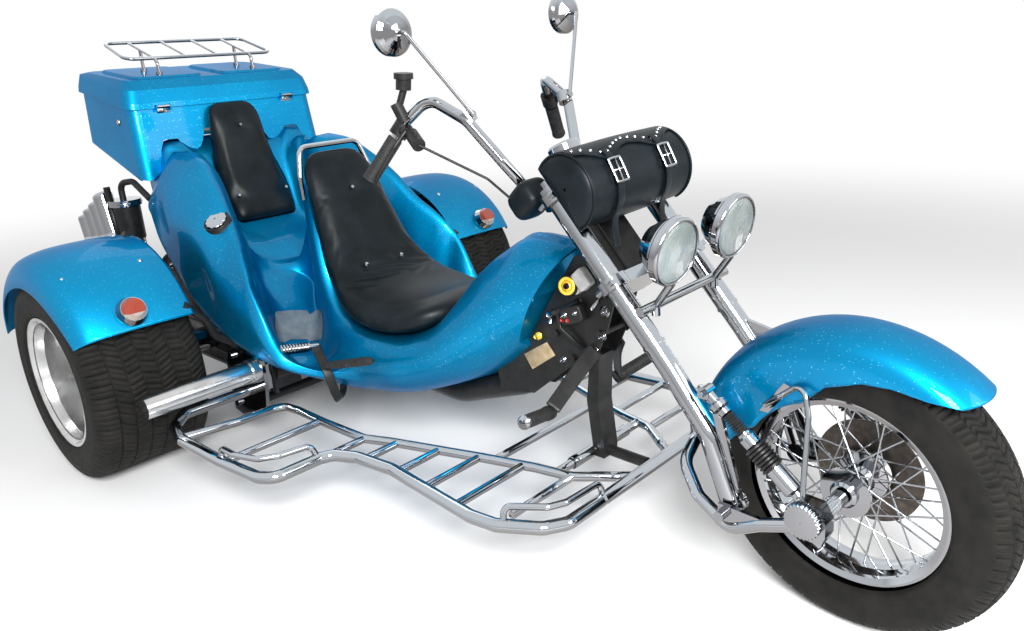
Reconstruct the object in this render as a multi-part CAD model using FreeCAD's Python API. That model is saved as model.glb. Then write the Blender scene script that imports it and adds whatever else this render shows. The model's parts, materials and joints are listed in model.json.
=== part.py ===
import FreeCAD, Part
import math
import os

# Motor trike, millimetres.  Working axes: +X forward from the rear axle, +Y left, +Z up from the ground.
# Every shape is moved by -MID_X at the end, so the origin lies under the middle of the bounding box.
MID_X = 881.0
SEAT_GAP = 0.3
MOVE_GAP = 6.0
RUN_FIT = 0.05

# rear wheels
REAR_AXLE_Z = 324.0
REAR_TYRE_R = 324.0
REAR_TYRE_HALF = 174.5
REAR_TRACK_HALF = 697.5
REAR_RIM_R = 207.8
REAR_SEAT_R = 190.0
REAR_RIM_HALF = 166.5
AXLE_SHAFT_R = 22.0

# front wheel, placed by the wheelbase
WHEELBASE = 2144.0
FRONT_TYRE_R = 333.0
FRONT_TYRE_HALF = 66.0
FRONT_SEAT_R = 202.0
FRONT_FLANGE = 14.7
FRONT_RIM_HALF = 46.0
FRONT_AXLE_R = 10.0
FRONT_RIM_R = FRONT_SEAT_R + FRONT_FLANGE

# fork: steering axis through (HEAD_X, HEAD_Z), tubes ahead of it and beside it
RAKE = 41.65
STEER = -4.9
HEAD_X = 1385.0
HEAD_Z = 900.0
HEAD_TOP = 62.0
HEAD_LOW = 258.0
HEAD_R = 34.0
STEM_R = 16.0
FORK_SIDE = 146.0
FORK_AHEAD = 68.0
FORK_R = 26.0
FORK_END = 448.0
LEG_R = 25.0
LINK_R = 15.0
LINK_Y = 184.0
SHOCK_Y = 168.0

# running boards
BOARD_Z = 195.0
BOARD_R = 17.0
BOARD_IN_R = 13.0
RUNG_R = 11.0
RAIL_R = 8.5
CROSS_X = 1597.0
PLATE_SIDE = 404.0

# fenders
FENDER_X = -30.0
FENDER_R = 402.0
FENDER_WALL = 4.0
FENDER_IN_Y = 540.0
FRONT_FENDER_GAP = 39.0
FRONT_FENDER_HALF = 90.0
FRONT_FENDER_WALL = 3.0
FF_R = FRONT_TYRE_R + FRONT_FENDER_GAP

# trunk, lid and rack
TRUNK_WALL = 5.0
TRUNK_HALF = 360.0
LIP_Z = 1089.0
LIP_SLOPE = 0.155
HINGE_X = -284.0
HINGE_Z = 1093.0
HINGE_Y = 247.0
HINGE_HALF = 22.0
HINGE_PIN_R = 2.5
RACK_FRONT = (-420.0, 288.0, 1255.0)
RACK_REAR = (-620.0, 274.0, 1313.0)


def vec(x, y, z):
    return FreeCAD.Vector(x, y, z)


def rod(a, b, r):
    a = vec(*a)
    b = vec(*b)
    return Part.makeCylinder(r, (b - a).Length, a, b - a)


def block(x0, x1, y0, y1, z0, z1):
    return Part.makeBox(x1 - x0, y1 - y0, z1 - z0, vec(x0, y0, z0))


def bent_path(points, bend, closed=False):
    # straight runs joined by tangent arcs of the bend radius
    pts = [vec(*p) for p in points]
    edges = []
    n = len(pts)
    last = None
    first = None
    corners = range(n) if closed else range(1, n - 1)
    start = pts[0]
    for i in corners:
        p0 = pts[(i - 1) % n]
        p1 = pts[i]
        p2 = pts[(i + 1) % n]
        d0 = (p0 - p1).normalize()
        d2 = (p2 - p1).normalize()
        half = d0.getAngle(d2) / 2.0
        if half > math.pi / 2.0 - 0.01:
            continue
        room = 0.48 * min((p0 - p1).Length, (p2 - p1).Length)
        cut = min(bend / math.tan(half), room)
        radius = cut * math.tan(half)
        a = p1 + d0 * cut
        c = p1 + d2 * cut
        mid = (d0 + d2).normalize()
        b = p1 + mid * (radius / math.sin(half) - radius)
        if last is not None:
            edges.append(Part.makeLine(last, a))
        elif closed:
            first = a
        else:
            edges.append(Part.makeLine(start, a))
        edges.append(Part.Arc(a, b, c).toShape())
        last = c
    if closed:
        edges.append(Part.makeLine(last, first))
    else:
        edges.append(Part.makeLine(last if last is not None else start, pts[-1]))
    return Part.Wire(edges)


def tube(points, r, bend, closed=False):
    path = bent_path(points, bend, closed)
    edge = path.Edges[0]
    start = edge.valueAt(edge.FirstParameter)
    direction = edge.tangentAt(edge.FirstParameter)
    if not closed and (start - vec(*points[0])).Length > 1.0:
        start = vec(*points[0])
        direction = vec(*points[1]) - start
    ring = Part.Wire([Part.makeCircle(r, start, direction)])
    return path.makePipeShell([ring], True, False)


def prism(points, y0, y1):
    # closed outline in the XZ plane, extruded along Y
    wire = Part.makePolygon([vec(x, y0, z) for x, z in points] + [vec(points[0][0], y0, points[0][1])])
    return Part.Face(wire).extrude(vec(0, y1 - y0, 0))


def turned(profile, x, z, y0=0.0, side=1.0, angle=360.0, first=0.0):
    # (radius, across) profile turned about a Y line through (x, z)
    pts = [vec(x + r, y0 + side * w, z) for r, w in profile]
    face = Part.Face(Part.makePolygon(pts + [pts[0]]))
    if first:
        face.rotate(vec(x, 0, z), vec(0, -1, 0), first)
    return face.revolve(vec(x, 0, z), vec(0, -1, 0), angle)


def spun(a, b, profile):
    # (share of the way from a to b, radius) outline turned about the line from a to b
    a = vec(*a)
    b = vec(*b)
    run = b - a
    flat = [vec(profile[0][0] * run.Length, 0, 0)]
    flat += [vec(t * run.Length, r, 0) for t, r in profile]
    flat.append(vec(profile[-1][0] * run.Length, 0, 0))
    solid = Part.Face(Part.makePolygon(flat + [flat[0]])).revolve(vec(0, 0, 0), vec(1, 0, 0), 360)
    solid.Placement = FreeCAD.Placement(a, FreeCAD.Rotation(vec(1, 0, 0), run))
    return solid


def flipped(shape):
    return shape.mirror(vec(0, 0, 0), vec(0, 1, 0))


def both(shape):
    return [shape, flipped(shape)]


def fused(shapes):
    solid = shapes[0]
    if len(shapes) > 1:
        solid = shapes[0].multiFuse(shapes[1:])
    return solid.removeSplitter()


def largest(shape):
    return max(shape.Solids, key=lambda s: s.Volume)


def between(a, b, share):
    return tuple(p + (q - p) * share for p, q in zip(a, b))


def eased(xs, ys, x):
    # monotone cubic through the stations: no bulge beyond the measured values
    n = len(xs)
    steps = [(ys[i + 1] - ys[i]) / (xs[i + 1] - xs[i]) for i in range(n - 1)]
    slopes = [steps[0]]
    for a, b in zip(steps, steps[1:]):
        slopes.append(0.0 if a * b <= 0 else 2.0 * a * b / (a + b))
    slopes.append(steps[-1])
    k = max(i for i in range(n - 1) if x >= xs[i] or i == 0)
    h = xs[k + 1] - xs[k]
    t = (x - xs[k]) / h
    return ((1 + 2 * t) * (1 - t) ** 2 * ys[k] + t * (1 - t) ** 2 * h * slopes[k]
            + t * t * (3 - 2 * t) * ys[k + 1] + t * t * (t - 1) * h * slopes[k + 1])


def closed_curve(points):
    curve = Part.BSplineCurve()
    curve.interpolate(Points=points, PeriodicFlag=True)
    return Part.Wire([curve.toShape()])


RAKE_SIN = math.sin(math.radians(RAKE))
RAKE_COS = math.cos(math.radians(RAKE))
HEAD_DOWN = vec(RAKE_SIN, 0, -RAKE_COS)


def head(along, ahead=0.0, side=0.0):
    # point on the steering head: along the axis downwards, ahead square to it, side to the left
    x = HEAD_X + RAKE_SIN * along + RAKE_COS * ahead
    z = HEAD_Z - RAKE_COS * along + RAKE_SIN * ahead
    return (x, side, z)


def wheel_point(ahead, up, side=0.0):
    # point given from the middle of the front wheel
    return (WHEELBASE + ahead, side, FRONT_TYRE_R + up)


NODES = {}


def keep(name, shapes):
    if not isinstance(shapes, list):
        shapes = [shapes]
    solids = []
    for shape in shapes:
        solids += shape.Solids
    NODES[name] = Part.makeCompound(solids)


# rear wheels: wide low-profile tyre on a dished rim with its hub on the axle end
def rear_wheel(side):
    centre = side * REAR_TRACK_HALF
    lip = REAR_RIM_HALF
    bead = lip - 11.0
    half = REAR_TYRE_HALF
    tyre_half = [(REAR_SEAT_R + SEAT_GAP, bead), (REAR_RIM_R + 2.0, bead), (REAR_RIM_R + 8.0, lip - 2.0),
                 (REAR_TYRE_R - 92.0, half - 2.0), (REAR_TYRE_R - 69.0, half), (REAR_TYRE_R - 33.0, half - 5.0),
                 (REAR_TYRE_R - 11.0, half - 17.0), (REAR_TYRE_R - 3.0, half - 36.0), (REAR_TYRE_R, half - 80.0)]
    tyre = tyre_half + [(r, -w) for r, w in reversed(tyre_half)]
    bore = AXLE_SHAFT_R + RUN_FIT
    well = REAR_SEAT_R - 7.0
    rim = [(bore, -70.0), (62.0, -70.0), (62.0, -2.0), (95.0, 4.0), (well - 5.0, 22.0), (well, 0.0),
           (well, -lip + 6.0), (well + 13.0, -lip + 6.0), (well + 13.0, -lip), (REAR_RIM_R, -lip),
           (REAR_RIM_R, -bead - 0.4), (REAR_SEAT_R, -bead - 0.4), (REAR_SEAT_R, bead + 0.4),
           (REAR_RIM_R, bead + 0.4), (REAR_RIM_R, lip), (well + 16.0, lip), (well + 7.0, lip - 14.0),
           (well + 1.0, lip - 40.0), (well - 3.0, 40.0), (90.0, 22.0), (62.0, 20.0), (44.0, 34.0), (bore, 34.0)]
    return turned(tyre, 0.0, REAR_AXLE_Z, centre, side), turned(rim, 0.0, REAR_AXLE_Z, centre, side)


for side, word in ((-1.0, "right"), (1.0, "left")):
    tyre, rim = rear_wheel(side)
    keep("rear_tyre_" + word, tyre)
    keep("rear_rim_" + word, rim)

HUB_IN = REAR_TRACK_HALF - 70.0
HUB_OUT = REAR_TRACK_HALF + 34.0


def axle_end(side):
    def at(y):
        return (0, side * y, REAR_AXLE_Z)
    shaft = rod(at(300), at(HUB_OUT + 8.0), AXLE_SHAFT_R)
    housing = rod(at(230), at(HUB_IN - MOVE_GAP), 40.0)
    flange = rod(at(HUB_IN - MOVE_GAP - 22.0), at(HUB_IN - MOVE_GAP), 66.0)
    cap = rod(at(HUB_OUT + MOVE_GAP), at(HUB_OUT + 26.0), 34.0)
    return fused([shaft, housing, flange, cap])


keep("axle_ends", [axle_end(-1.0), axle_end(1.0)])

# frame: backbone, bolted neck plates with the head tube, cross beam, rear rails and plates
head_tube = rod(head(HEAD_TOP), head(HEAD_LOW), HEAD_R)
backbone = tube([(110, 0, 245), (900, 0, 222), (1210, 0, 335), head(150, -36)], 38.0, 160.0)
NECK = [(1120, 300), (1250, 322), (1375, 425), (1470, 470), (1512, 560), (1536, 640), (1530, 690), (1470, 760),
        (1412, 740), (1320, 600), (1215, 440), (1110, 360)]
PLATE_Y = 46.0
LOW_CLAMP = HEAD_LOW + 12.0
LOW_CLAMP_THICK = 28.0
CLAMP_SWEEP = 76.0
clamp_room = rod(head(LOW_CLAMP - MOVE_GAP), head(LOW_CLAMP + LOW_CLAMP_THICK + MOVE_GAP), CLAMP_SWEEP)
neck = [prism(NECK, s * PLATE_Y - 3.0, s * PLATE_Y + 3.0).cut(clamp_room) for s in (-1.0, 1.0)]
neck_ties = [block(1150, 1240, -PLATE_Y, PLATE_Y, 330, 400),
             rod((1345, -PLATE_Y - 12, 520), (1345, PLATE_Y + 12, 520), 9.0),
             rod((1492, -PLATE_Y - 12, 549), (1492, PLATE_Y + 12, 549), 9.0),
             rod((1400, -PLATE_Y - 12, 462), (1400, PLATE_Y + 12, 462), 9.0)]
top_panel = prism([head(HEAD_TOP + 4, 34)[0::2], head(HEAD_TOP + 4, 40)[0::2], head(HEAD_LOW - 4, 40)[0::2],
                   head(HEAD_LOW - 4, 34)[0::2]], -52, 52)
panel_web = prism([head(HEAD_TOP + 24, 20)[0::2], head(HEAD_TOP + 24, 36)[0::2], head(HEAD_LOW - 24, 36)[0::2],
                   head(HEAD_LOW - 24, 20)[0::2]], -10, 10)
cross_beam = rod((330, -326, 262), (330, 326, 262), 34.0)
side_plates = [block(185, 345, s * 326 - 5, s * 326 + 5, 185, 330) for s in (-1.0, 1.0)]
side_boxes = [block(196, 338, min(s * 230, s * 326), max(s * 230, s * 326), 196, 300) for s in (-1.0, 1.0)]
low_beam = rod((215, -390, 125), (215, 390, 125), 17.0)
beam_hangers = [block(198, 232, s * 322 - 4, s * 322 + 4, 118, 200) for s in (-1.0, 1.0)]
rear_rails = [rod((60, s * 150, 262), (330, s * 150, 262), 26.0) for s in (-1.0, 1.0)]
bore = rod(head(HEAD_TOP - 5), head(HEAD_LOW + 5), STEM_R + RUN_FIT)
keep("frame", fused([head_tube, backbone, top_panel, panel_web, cross_beam, low_beam] + neck + neck_ties + side_plates
                    + side_boxes + beam_hangers + rear_rails).cut(bore))

# wide strap from the neck down to the front of the boards
strap = prism([(1440, 476), (1470, 476), (1462, 340), (1478, 212), (1478, 181), (1440, 181), (1440, 214),
               (1424, 340)], -30, 30)
strut = rod((1460, 0, BOARD_Z), (CROSS_X - SEAT_GAP, 0, BOARD_Z), 15.0)
keep("front_strap", fused([strap, strut]).cut(NODES["frame"]))

# engine and transmission, and what stands beside them
engine = fused([block(-480, -60, -225, 225, 250, 560), block(-60, 45, -120, 120, 225, 400),
                block(-420, -120, -330, 330, 330, 450)])
keep("engine_block", engine)
CAN = (-380.0, -405.0)
hose = tube([(CAN[0] - 10, CAN[1], 781), (CAN[0] - 10, CAN[1], 838), (-330, -384, 846), (-236, -375, 790)], 11.0, 34.0)
intake = tube([(CAN[0], CAN[1], 602), (CAN[0], CAN[1], 500), (CAN[0], -300, 430)], 20.0, 45.0)
keep("canister_caps", [rod((CAN[0], CAN[1], 760), (CAN[0], CAN[1], 782), 56.0),
                       fused([rod((CAN[0], CAN[1], 600), (CAN[0], CAN[1], 640), 40.0), intake]).cut(engine)])
keep("air_canister", rod((CAN[0], CAN[1], 640), (CAN[0], CAN[1], 760), 48.0))


def silencer(side):
    parts = []
    for i in range(4):
        x = -500.0 - 34.0 * i
        z = 700.0 - 34.0 * i
        parts.append(rod((x, side * 360, z), (x + 60.0, side * 520, z - 10), 26.0))
    parts.append(tube([(-300, side * (330 + SEAT_GAP), 380), (-300, side * 420, 380), (-470, side * 440, 480),
                       (-545, side * 440, 610)], 20.0, 50.0))
    return fused(parts)


keep("silencers", [silencer(-1.0), silencer(1.0)])

# running boards: one bent outer tube, an inner tube and rungs, heel and toe rails above
OUTER = [(345, PLATE_SIDE + SEAT_GAP, 231), (345, 640, 231), (385, 692, 220), (468, 710, 210), (655, 695, 197), (822, 677, 195),
         (863, 651, 195), (867, 515, 195), (881, 480, 195), (948, 448, 195), (1077, 432, 195), (1218, 443, 195),
         (1410, 461, 195), (1485, 451, 195), (1581, 394, 195), (1614, 342, 195), (1614, 222, 195)]
INNER = [(460, 705, 212), (470, 536, 200), (468, 417, 196), (482, 383, 195), (546, 374, 195), (676, 375, 195),
         (871, 367, 195), (952, 333, 195), (1213, 246, 195), (1378, 195, 195), (1483, 173, 195), (1564, 113, 195)]
RUNGS = [(667, 375, 691), (872, 367, 560), (972, 326, 444), (1100, 283, 434), (1219, 244, 443), (1345, 205, 455)]
HEEL_RAIL = [(660, 692, 200), (660, 688, 236), (738, 690, 240), (812, 664, 240), (842, 618, 240), (852, 530, 236),
             (866, 520, 200)]
TOE_RAIL = [(1500, 440, 200), (1490, 428, 236), (1580, 372, 240), (1600, 330, 240), (1602, 214, 236)]


def board(side):
    outer = tube([(x, side * y, z) for x, y, z in OUTER], BOARD_R, 45.0)
    inner = tube([(x, side * y, z) for x, y, z in INNER], BOARD_IN_R, 40.0)
    parts = [outer, inner]
    for x, y0, y1 in RUNGS:
        parts.append(rod((x, side * y0, BOARD_Z), (x, side * y1, BOARD_Z), RUNG_R))
    parts.append(tube([(x, side * y, z) for x, y, z in HEEL_RAIL], RAIL_R, 24.0))
    parts.append(tube([(x, side * y, z) for x, y, z in TOE_RAIL], RAIL_R, 24.0))
    return fused(parts)


CROSS_Y = 222.0 - SEAT_GAP
keep("board_right", board(-1.0))
keep("board_left", board(1.0))
cross = block(CROSS_X, CROSS_X + 34, -CROSS_Y, CROSS_Y, BOARD_Z - 14, BOARD_Z + 14)
keep("board_cross", cross.cut(NODES["board_right"]).cut(NODES["board_left"]))
SIDE_TUBE_X = 374.0
SIDE_TUBE_R = 34.0
plates = []
for s, word in ((-1.0, "right"), (1.0, "left")):
    plate = prism([(180, 278), (188, 116), (236, 108), (400, 176), (416, 262), (412, 342), (300, 348), (214, 348)],
                  s * (PLATE_SIDE - 12), s * PLATE_SIDE)
    bolts = [rod((x, s * (PLATE_SIDE - 4), z), (x, s * (PLATE_SIDE + 10), z), 11.0) for x, z in ((235, 320), (225, 150), (385, 340))]
    lug = block(205, 335, min(s * 331.3, s * 392), max(s * 331.3, s * 392), 205, 292)
    plates.append(largest(fused([plate, lug] + bolts).cut(NODES["board_" + word]).cut(NODES["frame"])))
keep("board_brackets", plates)
TUBE_IN = PLATE_SIDE + SEAT_GAP
keep("side_tubes", [rod((SIDE_TUBE_X, s * TUBE_IN, 302), (SIDE_TUBE_X, s * 762, 302), SIDE_TUBE_R)
                    .fuse(rod((SIDE_TUBE_X, s * TUBE_IN, 302), (SIDE_TUBE_X, s * (TUBE_IN + 26), 302), SIDE_TUBE_R + 6))
                    .cut(NODES["board_brackets"]) for s in (-1.0, 1.0)])


# rear fenders: turned shell with a rolled outer face and an arched wheel opening
def rear_fender(side):
    wall = FENDER_WALL
    outer = [(FENDER_R - 6, FENDER_IN_Y), (FENDER_R, 620), (FENDER_R, 720), (FENDER_R - 6, 790),
             (FENDER_R - 22, 842), (FENDER_R - 50, 868), (FENDER_R - 82, 878), (FENDER_R - 122, 879)]
    inner = [(r - wall, w) for r, w in outer[:4]] + [(r - wall * 0.6, w - wall * 0.8) for r, w in outer[4:7]]
    inner.append((FENDER_R - 122, 879 - wall))
    shell = turned(outer + inner[::-1], FENDER_X, REAR_AXLE_Z, 0.0, side, 137.0, 29.5)
    arch = []
    for k in range(25):
        a = math.radians(7.5 * k)
        r = 300.0 + 62.0 * abs(math.cos(a)) ** 3
        arch.append((FENDER_X - 5.0 + r * math.cos(a), REAR_AXLE_Z + r * math.sin(a)))
    arch += [(FENDER_X - 372.0, 200.0), (FENDER_X + 362.0, 200.0)]
    y0, y1 = sorted((side * 845.0, side * 890.0))
    return shell.cut(prism(arch, y0, y1))


keep("rear_fender_right", rear_fender(-1.0))
keep("rear_fender_left", rear_fender(1.0))
struts = []
for s, word in ((-1.0, "right"), (1.0, "left")):
    fender = NODES["rear_fender_" + word]
    front = tube([(262, s * 296, 296), (262, s * 462, 412), (288, s * 500, 486), (294, s * 560, 548)], 13.0, 60.0)
    rear = tube([(-20, s * 440, 350), (-30, s * 470, 600), (-34, s * 536, 704), (-34, s * 566, 726)], 13.0, 60.0)
    struts.append(largest(front.cut(NODES["frame"]).cut(fender).cut(NODES["board_brackets"])))
    struts.append(largest(rear.cut(NODES["axle_ends"]).cut(fender)))
keep("fender_struts", struts)

# turn signals on the fenders' front corners
SIGNAL = (294.0, 710.0, 567.0)
SIGNAL_AXIS = vec(0.86, 0.0, 0.5)
pods = []
lenses = []
for s, word in ((-1.0, "right"), (1.0, "left")):
    base = vec(SIGNAL[0], s * SIGNAL[1], SIGNAL[2])
    pod = Part.makeCone(40.0, 44.0, 22.0, base + SIGNAL_AXIS * -14.0, SIGNAL_AXIS).fuse(
        Part.makeCone(44.0, 36.0, 22.0, base + SIGNAL_AXIS * 8.0, SIGNAL_AXIS))
    pod = pod.cut(NODES["rear_fender_" + word])
    pods.append(max(pod.Solids, key=lambda p: p.BoundBox.XMax))
    lens = Part.makeCone(34.5, 27.0, 15.0, base + SIGNAL_AXIS * (30.0 + SEAT_GAP), SIGNAL_AXIS)
    lenses.append(lens)
keep("signal_pods", pods)
keep("signal_lenses", lenses)

# body tub: half sections (y, z) from the top middle round to the bottom middle.  In each: middle, hump, hump
# side, hump foot, floor, crease, inner wall low and high, leg-shield ridge, outer side high and low, lower edge, belly
HULL = [
    (-360, [(0, 970), (90, 970), (160, 970), (210, 968), (250, 960), (280, 940), (298, 910), (308, 880), (312, 850),
            (310, 805), (296, 755), (255, 715), (140, 700), (0, 698)]),
    (-272, [(0, 925), (90, 925), (165, 932), (220, 966), (262, 962), (285, 935), (300, 880), (318, 852), (330, 842),
            (336, 800), (322, 745), (275, 700), (150, 675), (0, 670)]),
    (-215, [(0, 830), (80, 830), (125, 834), (150, 846), (185, 895), (225, 935), (262, 938), (296, 892), (335, 855),
            (396, 770), (384, 720), (310, 650), (170, 590), (0, 580)]),
    (-110, [(0, 655), (80, 655), (120, 658), (138, 668), (165, 740), (190, 810), (205, 890), (240, 940), (300, 945),
            (400, 820), (418, 655), (335, 560), (180, 500), (0, 490)]),
    (0, [(0, 600), (60, 600), (110, 603), (165, 606), (185, 650), (200, 720), (218, 810), (240, 890), (295, 938),
         (425, 765), (430, 580), (350, 480), (190, 400), (0, 385)]),
    (100, [(0, 548), (35, 546), (80, 546), (150, 548), (195, 572), (222, 650), (245, 745), (268, 835), (315, 890),
           (430, 735), (440, 510), (362, 420), (200, 335), (0, 315)]),
    (200, [(0, 705), (38, 690), (50, 560), (62, 486), (225, 492), (262, 580), (285, 670), (302, 760), (338, 822),
           (440, 675), (440, 455), (362, 370), (205, 300), (0, 285)]),
    (300, [(0, 852), (85, 845), (105, 770), (112, 432), (225, 430), (275, 450), (302, 545), (324, 650), (362, 728),
           (452, 580), (436, 405), (352, 338), (200, 280), (0, 268)]),
    (390, [(0, 850), (112, 838), (150, 700), (165, 385), (230, 372), (312, 385), (338, 470), (362, 570), (394, 655),
           (453, 520), (428, 378), (340, 318), (198, 266), (0, 255)]),
    (470, [(0, 560), (110, 555), (165, 520), (200, 420), (262, 345), (338, 350), (372, 430), (398, 510), (420, 560),
           (448, 470), (420, 360), (330, 302), (195, 252), (0, 243)]),
    (560, [(0, 470), (120, 468), (180, 462), (222, 425), (268, 345), (336, 332), (372, 365), (400, 400), (418, 415),
           (436, 385), (406, 346), (318, 296), (195, 243), (0, 234)]),
    (640, [(0, 448), (120, 448), (185, 446), (226, 432), (258, 385), (282, 345), (300, 335), (330, 335), (350, 345),
           (352, 328), (326, 312), (280, 278), (190, 238), (0, 230)]),
    (740, [(0, 440), (120, 440), (190, 440), (228, 434), (250, 410), (262, 385), (266, 365), (266, 345), (262, 325),
           (254, 305), (240, 286), (216, 264), (165, 240), (0, 232)]),
    (860, [(0, 450), (110, 450), (180, 448), (218, 438), (240, 418), (250, 396), (254, 376), (253, 357), (248, 338),
           (239, 320), (225, 303), (202, 284), (150, 262), (0, 252)]),
    (960, [(0, 500), (90, 498), (150, 488), (188, 468), (210, 446), (222, 424), (227, 404), (227, 385), (222, 367),
           (213, 350), (199, 333), (177, 315), (125, 294), (0, 282)]),
    (1060, [(0, 640), (55, 632), (105, 600), (145, 560), (174, 522), (190, 490), (197, 463), (197, 440), (192, 419),
            (182, 399), (167, 379), (144, 358), (95, 335), (0, 322)]),
    (1160, [(0, 722), (46, 714), (90, 682), (125, 642), (149, 603), (162, 570), (167, 541), (166, 515), (160, 491),
            (149, 468), (133, 445), (110, 421), (68, 396), (0, 380)]),
    (1260, [(0, 772), (42, 764), (78, 736), (106, 702), (125, 668), (135, 638), (138, 611), (136, 587), (130, 565),
            (120, 544), (105, 522), (83, 498), (48, 474), (0, 460)]),
    (1360, [(0, 766), (36, 760), (66, 742), (90, 718), (105, 694), (113, 672), (115, 652), (113, 634), (108, 617),
            (99, 600), (85, 582), (66, 564), (38, 548), (0, 540)]),
    (1450, [(0, 752), (30, 748), (56, 738), (76, 722), (90, 706), (97, 691), (99, 677), (97, 664), (92, 651),
            (84, 638), (72, 625), (54, 612), (30, 602), (0, 598)]),
]
HULL_XS = [x for x, half in HULL]
HULL_STEP = 30.0
HULL_SPLIT = 3


def hull_rows(x0, x1, shrink=0.0):
    # grid of points: stations along x, section points from the top middle round to the bottom middle
    count = int(round((x1 - x0) / HULL_STEP))
    roles = list(range(len(HULL[0][1])))
    rows = []
    for k in range(count + 1):
        x = x0 + (x1 - x0) * k / count
        ys = [eased(HULL_XS, [half[i][0] for xs, half in HULL], x) for i in roles]
        zs = [eased(HULL_XS, [half[i][1] for xs, half in HULL], x) for i in roles]
        mid_z = 0.5 * (zs[0] + zs[-1])
        row = []
        for j in range((len(roles) - 1) * HULL_SPLIT + 1):
            v = j / HULL_SPLIT
            y = eased(roles, ys, v) * (1.0 - shrink)
            z = mid_z + (eased(roles, zs, v) - mid_z) * (1.0 - shrink)
            row.append(vec(x, -y, z))
        rows.append(row)
    return rows


def hull(x0, x1, shrink=0.0):
    surface = Part.BSplineSurface()
    surface.interpolate(hull_rows(x0, x1, shrink))
    right = surface.toShape()
    left = flipped(right)
    caps = []
    for x in (x0, x1):
        rim = []
        for half in (right, left):
            rim += [e for e in half.Edges if e.BoundBox.XMax - x < 0.01 and x - e.BoundBox.XMin < 0.01]
        caps.append(Part.Face(Part.Wire(rim)))
    shell = Part.Shell([right, left] + caps)
    shell.sewShape()
    solid = Part.Solid(shell)
    if solid.Volume < 0:
        solid.reverse()
    return solid


body = hull(HULL_XS[0], HULL_XS[-1])
nose_end = prism([(1460, 850), (1240, 483), (1300, 300), (1800, 300), (1800, 850)], -300, 300)
mouth = hull(1330.0, HULL_XS[-1], 0.10)
body = body.cut(nose_end).cut(mouth)


# cushions: rounded sections along a spine (x, z, half width, half thickness)
def cushion(spine, roll=0.0):
    wires = []
    for i, (x, z, half_w, half_t) in enumerate(spine):
        a = spine[max(i - 1, 0)]
        b = spine[min(i + 1, len(spine) - 1)]
        run = vec(b[0] - a[0], 0, b[1] - a[1]).normalize()
        up = vec(-run.z, 0, run.x)
        pts = []
        for k in range(20):
            t = 2.0 * math.pi * k / 20
            c = math.copysign(abs(math.cos(t)) ** 0.45, math.cos(t))
            s = math.copysign(abs(math.sin(t)) ** 0.75, math.sin(t))
            pts.append(vec(x, 0, z) + vec(0, half_w * c, 0) + up * (half_t * s))
        wires.append(closed_curve(pts))
    return Part.makeLoft(wires, True, False)


REAR_PAD = [(-287, 1086, 52, 10), (-280, 1076, 84, 22), (-266, 1045, 100, 29), (-254, 990, 110, 31),
            (-236, 910, 122, 34), (-208, 825, 132, 38), (-176, 760, 134, 42), (-146, 712, 130, 40),
            (-126, 686, 124, 34), (-112, 672, 108, 20)]
FRONT_PAD = [(326, 938, 62, 12), (336, 928, 98, 28), (356, 896, 122, 36), (394, 820, 140, 38),
             (440, 720, 158, 40), (492, 620, 178, 42), (548, 556, 198, 43), (620, 514, 222, 44),
             (720, 492, 238, 45), (820, 492, 236, 45), (900, 508, 216, 44), (955, 528, 176, 38),
             (985, 542, 120, 22), (992, 546, 76, 10)]
rear_seat = cushion(REAR_PAD)
front_seat = cushion(FRONT_PAD)


# trunk box: rounded shell, a floor part way up, and a skirt below it whose front edge dips in lobes
def lip_z(x):
    return LIP_Z - (x + 300.0) * LIP_SLOPE


def rounded_ring(x_front, x_rear, half, z_of, bend, half_rear=None):
    back = half if half_rear is None else half_rear
    corners = [(x_front, -half), (x_front, half), (x_rear, back), (x_rear, -back)]
    return bent_path([(x, y, z_of(x)) for x, y in corners], bend, True)


def trunk_low(x):
    return 838.0 - (x + 264.0) * 0.32


TRUNK_FRONT = -299.0
TRUNK_REAR = -700.0
APRON_LEAN = 34.0
outer = Part.makeLoft([rounded_ring(TRUNK_FRONT, TRUNK_REAR, TRUNK_HALF, lip_z, 38.0),
                       rounded_ring(TRUNK_FRONT + APRON_LEAN, TRUNK_REAR + 12, TRUNK_HALF + 10, trunk_low, 38.0)],
                      True, True)


def inside(z_top, z_bottom, top_share, low_share):
    wall = TRUNK_WALL
    rings = []
    for share, z_of in ((top_share, z_top), (low_share, z_bottom)):
        rings.append(rounded_ring(TRUNK_FRONT + APRON_LEAN * share - wall, TRUNK_REAR + 12 * share + wall,
                                  TRUNK_HALF + 10 * share - wall, z_of, 33.0))
    return Part.makeLoft(rings, True, True)


def above_lip(x):
    return lip_z(x) + 10.0


def floor_top(x):
    return 986.0


def floor_low(x):
    return 978.5


def under_skirt(x):
    return trunk_low(x) - 12.0


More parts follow.
